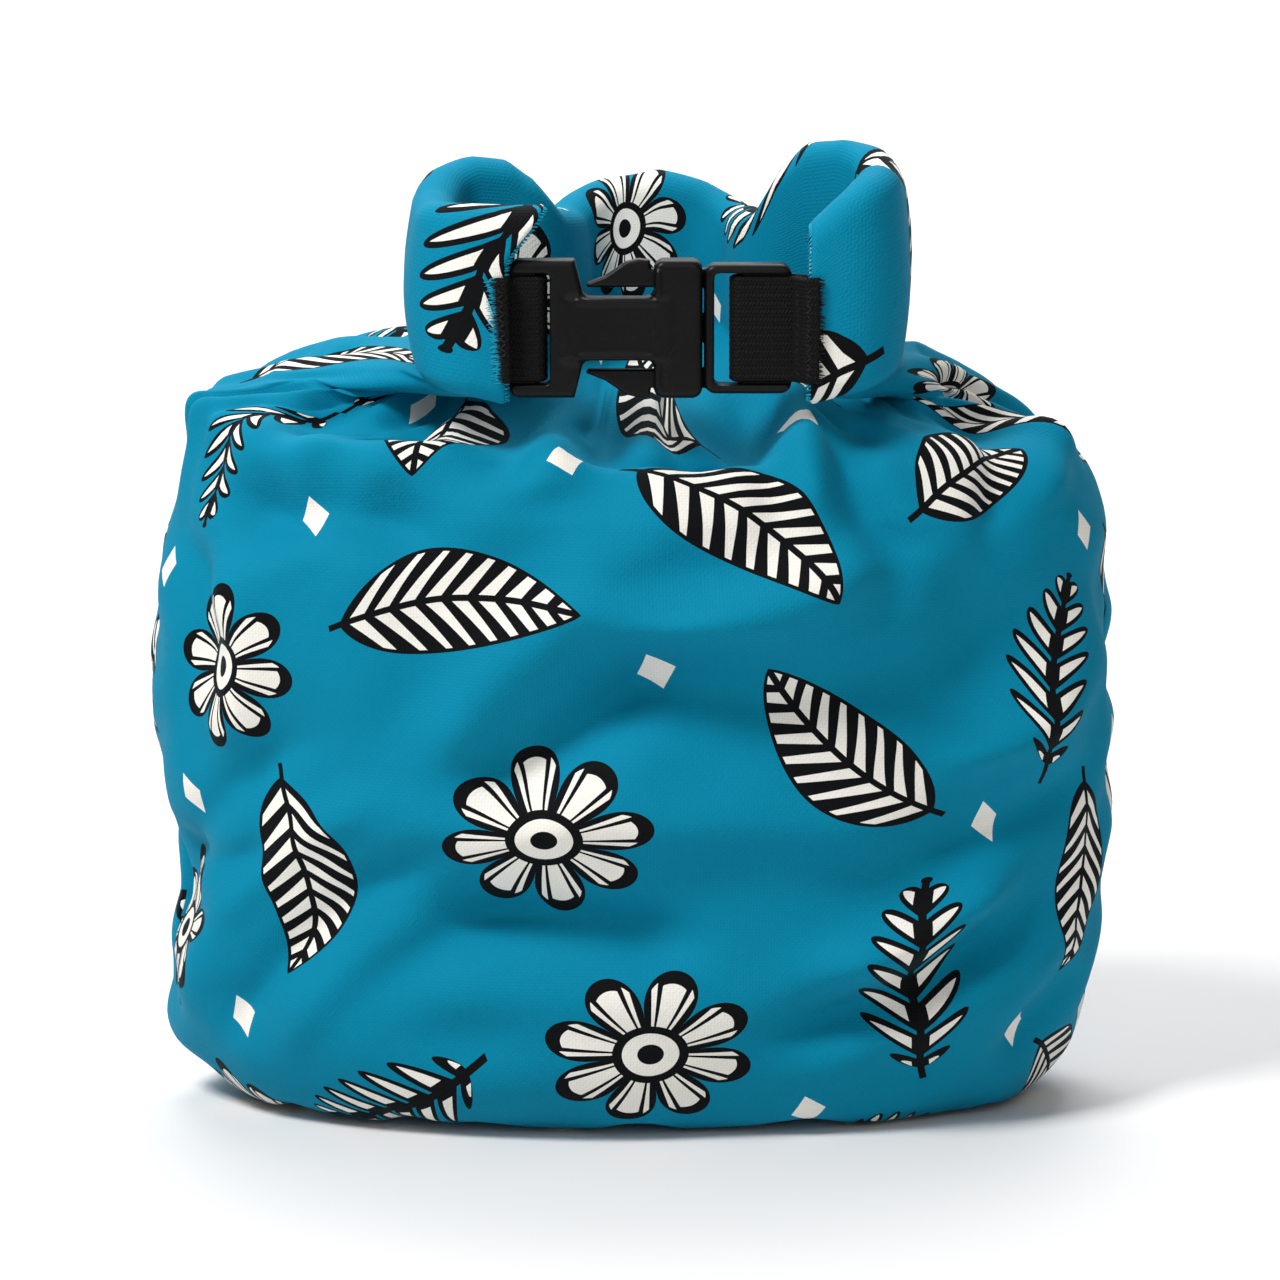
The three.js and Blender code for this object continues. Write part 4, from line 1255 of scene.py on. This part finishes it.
def webbingPath(tab):
    # Middle of the folded band: from its tail inside the roll, round the bar and out over the roll's
    # front; x outwards from the joint, y through the band, the front being negative
    thick = roll["webbing"]
    clear = roll["clearance"]
    barInner = tab["barInner"] - clear
    barOuter = tab["barOuter"]
    rollEnd = tab["rollEnd"]
    byBar = hardware["barThickness"] / 2 + clear + thick / 2
    bow = hardware["barThickness"] / 4 + thick / 2
    closeAt = max(barOuter + 2 * thick, rollEnd - thick)
    plies = 4 * roll["plyHalf"] + 2 * clear + thick + roll["gap"]
    front = plies + clear + thick / 2 - (thick + clear)
    points = [(rollEnd + webbing["tuck"], thick / 2)]

    def run(x0, y0, x1, y1, count, shape=lambda t: t, skip=1):
        for t in np.linspace(0, 1, count)[skip:]:
            points.append((mix(x0, x1, t), mix(y0, y1, shape(t))))

    run(rollEnd + webbing["tuck"], thick / 2, closeAt, thick / 2, 14)
    run(closeAt, thick / 2, barOuter, byBar, 12, ease)
    run(barOuter, byBar, barInner, byBar, 14)
    for angle in np.radians(np.linspace(90, -90, 15)[1:-1]):
        points.append((barInner - bow * math.cos(angle), byBar * math.sin(angle)))
    run(barInner, -byBar, barOuter, -byBar, 14, skip=0)
    run(barOuter, -byBar, rollEnd - 0.4, -front, 16, ease)
    run(rollEnd - 0.4, -front, rollEnd + tab["over"], -front, 8)
    return np.array(points)


def bandMesh(name, path, tab):
    # The band: a ribbed strip with rounded selvedges swept along its path
    half = webbing["width"] / 2
    edge = webbing["selvedge"]
    run = np.gradient(path, axis=0)
    run /= np.linalg.norm(run, axis=1)[:, None]
    across = np.linspace(-1, 1, webbing["columns"])
    lift = np.sqrt(np.maximum(0, 1 - np.maximum(0, (np.abs(across) * half - half + edge) / edge) ** 2))
    rib = webbing["ribHeight"] * np.cos(across * half * 2 * math.pi / webbing["ribStep"])
    raised = roll["webbing"] / 2 * np.maximum(lift, 0.16) + rib * lift
    home = slice(-2, 0, -1)  # the other face, from edge to edge
    z = np.concatenate([across, across[home]]) * half
    offset = np.concatenate([raised, -raised[home]])
    draw = np.random.default_rng(tab["seed"])
    wobble = np.convolve(draw.normal(0, 0.06, len(path)), np.ones(5) / 5, "same")
    ragged = draw.uniform(-webbing["ragged"], webbing["ragged"], len(z))
    towardsEnd = ease((np.arange(len(path)) - len(path) + 16) / 15)[:, None]
    px = path[:, :1] - run[:, 1:] * offset + tab["lean"] * z * towardsEnd
    px[-1] += ragged
    py = path[:, 1:] + run[:, :1] * offset
    pz = z * (1 + 0.004 * wobble)[:, None]
    vertices = np.stack([tab["sign"] * px, py, pz], axis=2).reshape(-1, 3) * mm
    count = len(z)
    faces = ringFaces(len(path), count)
    faces.append(tuple(range(count)))
    faces.append(tuple(range((len(path) - 1) * count, len(path) * count))[::-1])
    if tab["sign"] < 0:
        faces = [face[::-1] for face in faces]
    piece = newPiece(name, vertices, faces)
    mesh = piece.data
    flat = np.stack(np.broadcast_arrays(lengthsAlong(path)[:, None], z), axis=2).reshape(-1, 2) * mm
    loops = np.empty(len(mesh.loops), int)
    mesh.loops.foreach_get("vertex_index", loops)
    mesh.uv_layers.new(name="band").data.foreach_set("uv", flat[loops].ravel())
    work = bmesh.new()
    work.from_mesh(mesh)
    bmesh.ops.recalc_face_normals(work, faces=work.faces)
    work.to_mesh(mesh)
    work.free()
    return piece


# The band's colour runs from dark to pale with random fibre tone, and with painted shade in the hollows
# between the picks
webbingLook = {
    "dark": (0.0022, 0.0021, 0.0021, 1),
    "pale": (0.0085, 0.008, 0.0077, 1),
    "pickStep": 0.85,
    "specular": 0.1,
    "thread": (0.005, 0.005, 0.005, 1),
}


def makeWebbing(look):
    # Black woven band: lengthwise ribs crossed by slanting picks, with painted shade between the picks
    material, g, shader = principled("webbing_weave")
    flat = g.out("ShaderNodeUVMap", uv_map="band")
    along, wide = [g.out("ShaderNodeSeparateXYZ", {0: flat}, i) * (1 / mm) for i in range(2)]
    zigzag = abs(g.math("FRACT", wide / webbing["ribStep"]) - 0.5)
    picks = g.wave(along + zigzag * 1.5, look["pickStep"])
    ribs = g.wave(wide, webbing["ribStep"] / 2)
    fuzz = g.noise(1400.0, 3.0)
    height = picks * 0.8 + (ribs * 0.6 + fuzz * 0.7)
    # Colour: random fibre tone, and painted shade, darker in the hollows between the raised picks
    tone = g.blend((picks * 0.5 + fuzz * 0.6) * 0.8, look["dark"], look["pale"])
    finishShader(g, shader, tone, fuzz * 0.3 + 0.55, look["specular"], (0.8, 0.25, height))
    return material


# Loose threads out of the band's cut end, and the fuzzy hem behind the left one
fray = {"beyond": 0.0, "proud": 0.0, "length": 1.7, "count": 84, "seed": 17, "radius": 0.13}
hemFuzz = {"beyond": 0.5, "proud": -0.35, "length": 2.6, "count": 110, "seed": 29, "radius": 0.13}


def frayPaths(end, tab, setup):
    draw = np.random.default_rng(setup["seed"])
    half = webbing["width"] / 2
    y = end[1] - setup["proud"]
    paths = []
    for z in np.linspace(-half + 0.2, half - 0.2, setup["count"]):
        z += draw.uniform(-0.12, 0.12)
        reach = setup["length"] * draw.uniform(0.35, 1.0)
        drift = draw.uniform(-0.45, 0.45) * reach
        lift = draw.uniform(-0.25, 0.2)
        start = end[0] + setup["beyond"] + tab["lean"] * z - 0.6
        path = []
        for t in np.linspace(0, 1, 5):
            out = start + (reach + 0.6) * t
            path.append((tab["sign"] * out, y - lift * t * (1 - t) * 2, z + drift * t * t))
        paths.append(path)
    return paths


def tackPaths(path, tab):
    # Two zigzag rows of stitching through the front tail, near its end and near the bar
    front = path[-webbing["frontPoints"]:]
    half = webbing["width"] / 2 - webbing["tackInset"]
    marks = np.arange(-half, half + 0.01, webbing["tackStep"])
    shape = ((0.0, 0.15), (0.2, -0.12), (0.5, -0.2), (0.8, -0.12), (1.0, 0.15))
    paths = []
    for at in (tab["rollEnd"] - 0.6, tab["barOuter"] + 1.4):
        for k in range(len(marks) - 1):
            swing = webbing["tackSwing"] * (1 if k % 2 else -1)
            z = marks[k:k + 2]
            x = at + np.array([-swing, swing]) + tab["lean"] * z * 0.8
            y = np.interp(x, front[:, 0], front[:, 1]) - roll["webbing"] / 2
            paths.append([
                (tab["sign"] * mix(x[0], x[1], t), mix(y[0], y[1], t) + lift, mix(z[0], z[1], t))
                for t, lift in shape
            ])
    return paths


webbingMaterial = makeWebbing(webbingLook)
frayThread = makeThread("webbing_thread", webbingLook["thread"])
for tab in tabs:
    path = webbingPath(tab)
    band = bandMesh("webbing_band_" + tab["side"], path, tab)
    band.data.transform(jointPlace)
    band.data.materials.append(webbingMaterial)
    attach(band, "root")
    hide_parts("webbing_" + tab["side"])
    threads = [
        ("webbing_fray_", frayPaths(path[-1], tab, fray), fray["radius"], frayThread),
        ("webbing_stitches_", tackPaths(path, tab), webbing["tackRadius"], frayThread),
    ]
    if tab["side"] == "left":
        threads.append(("hem_fuzz_", frayPaths(path[-1], tab, hemFuzz), hemFuzz["radius"], hemThread))
    for name, paths, radius, material in threads:
        piece = threadMesh(name + tab["side"], paths, radius, 4)
        piece.data.transform(jointPlace)
        piece.data.materials.append(material)
        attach(piece, "root")
        "webbing" if material == frayThread else "cloth"
print("stage: webbing")
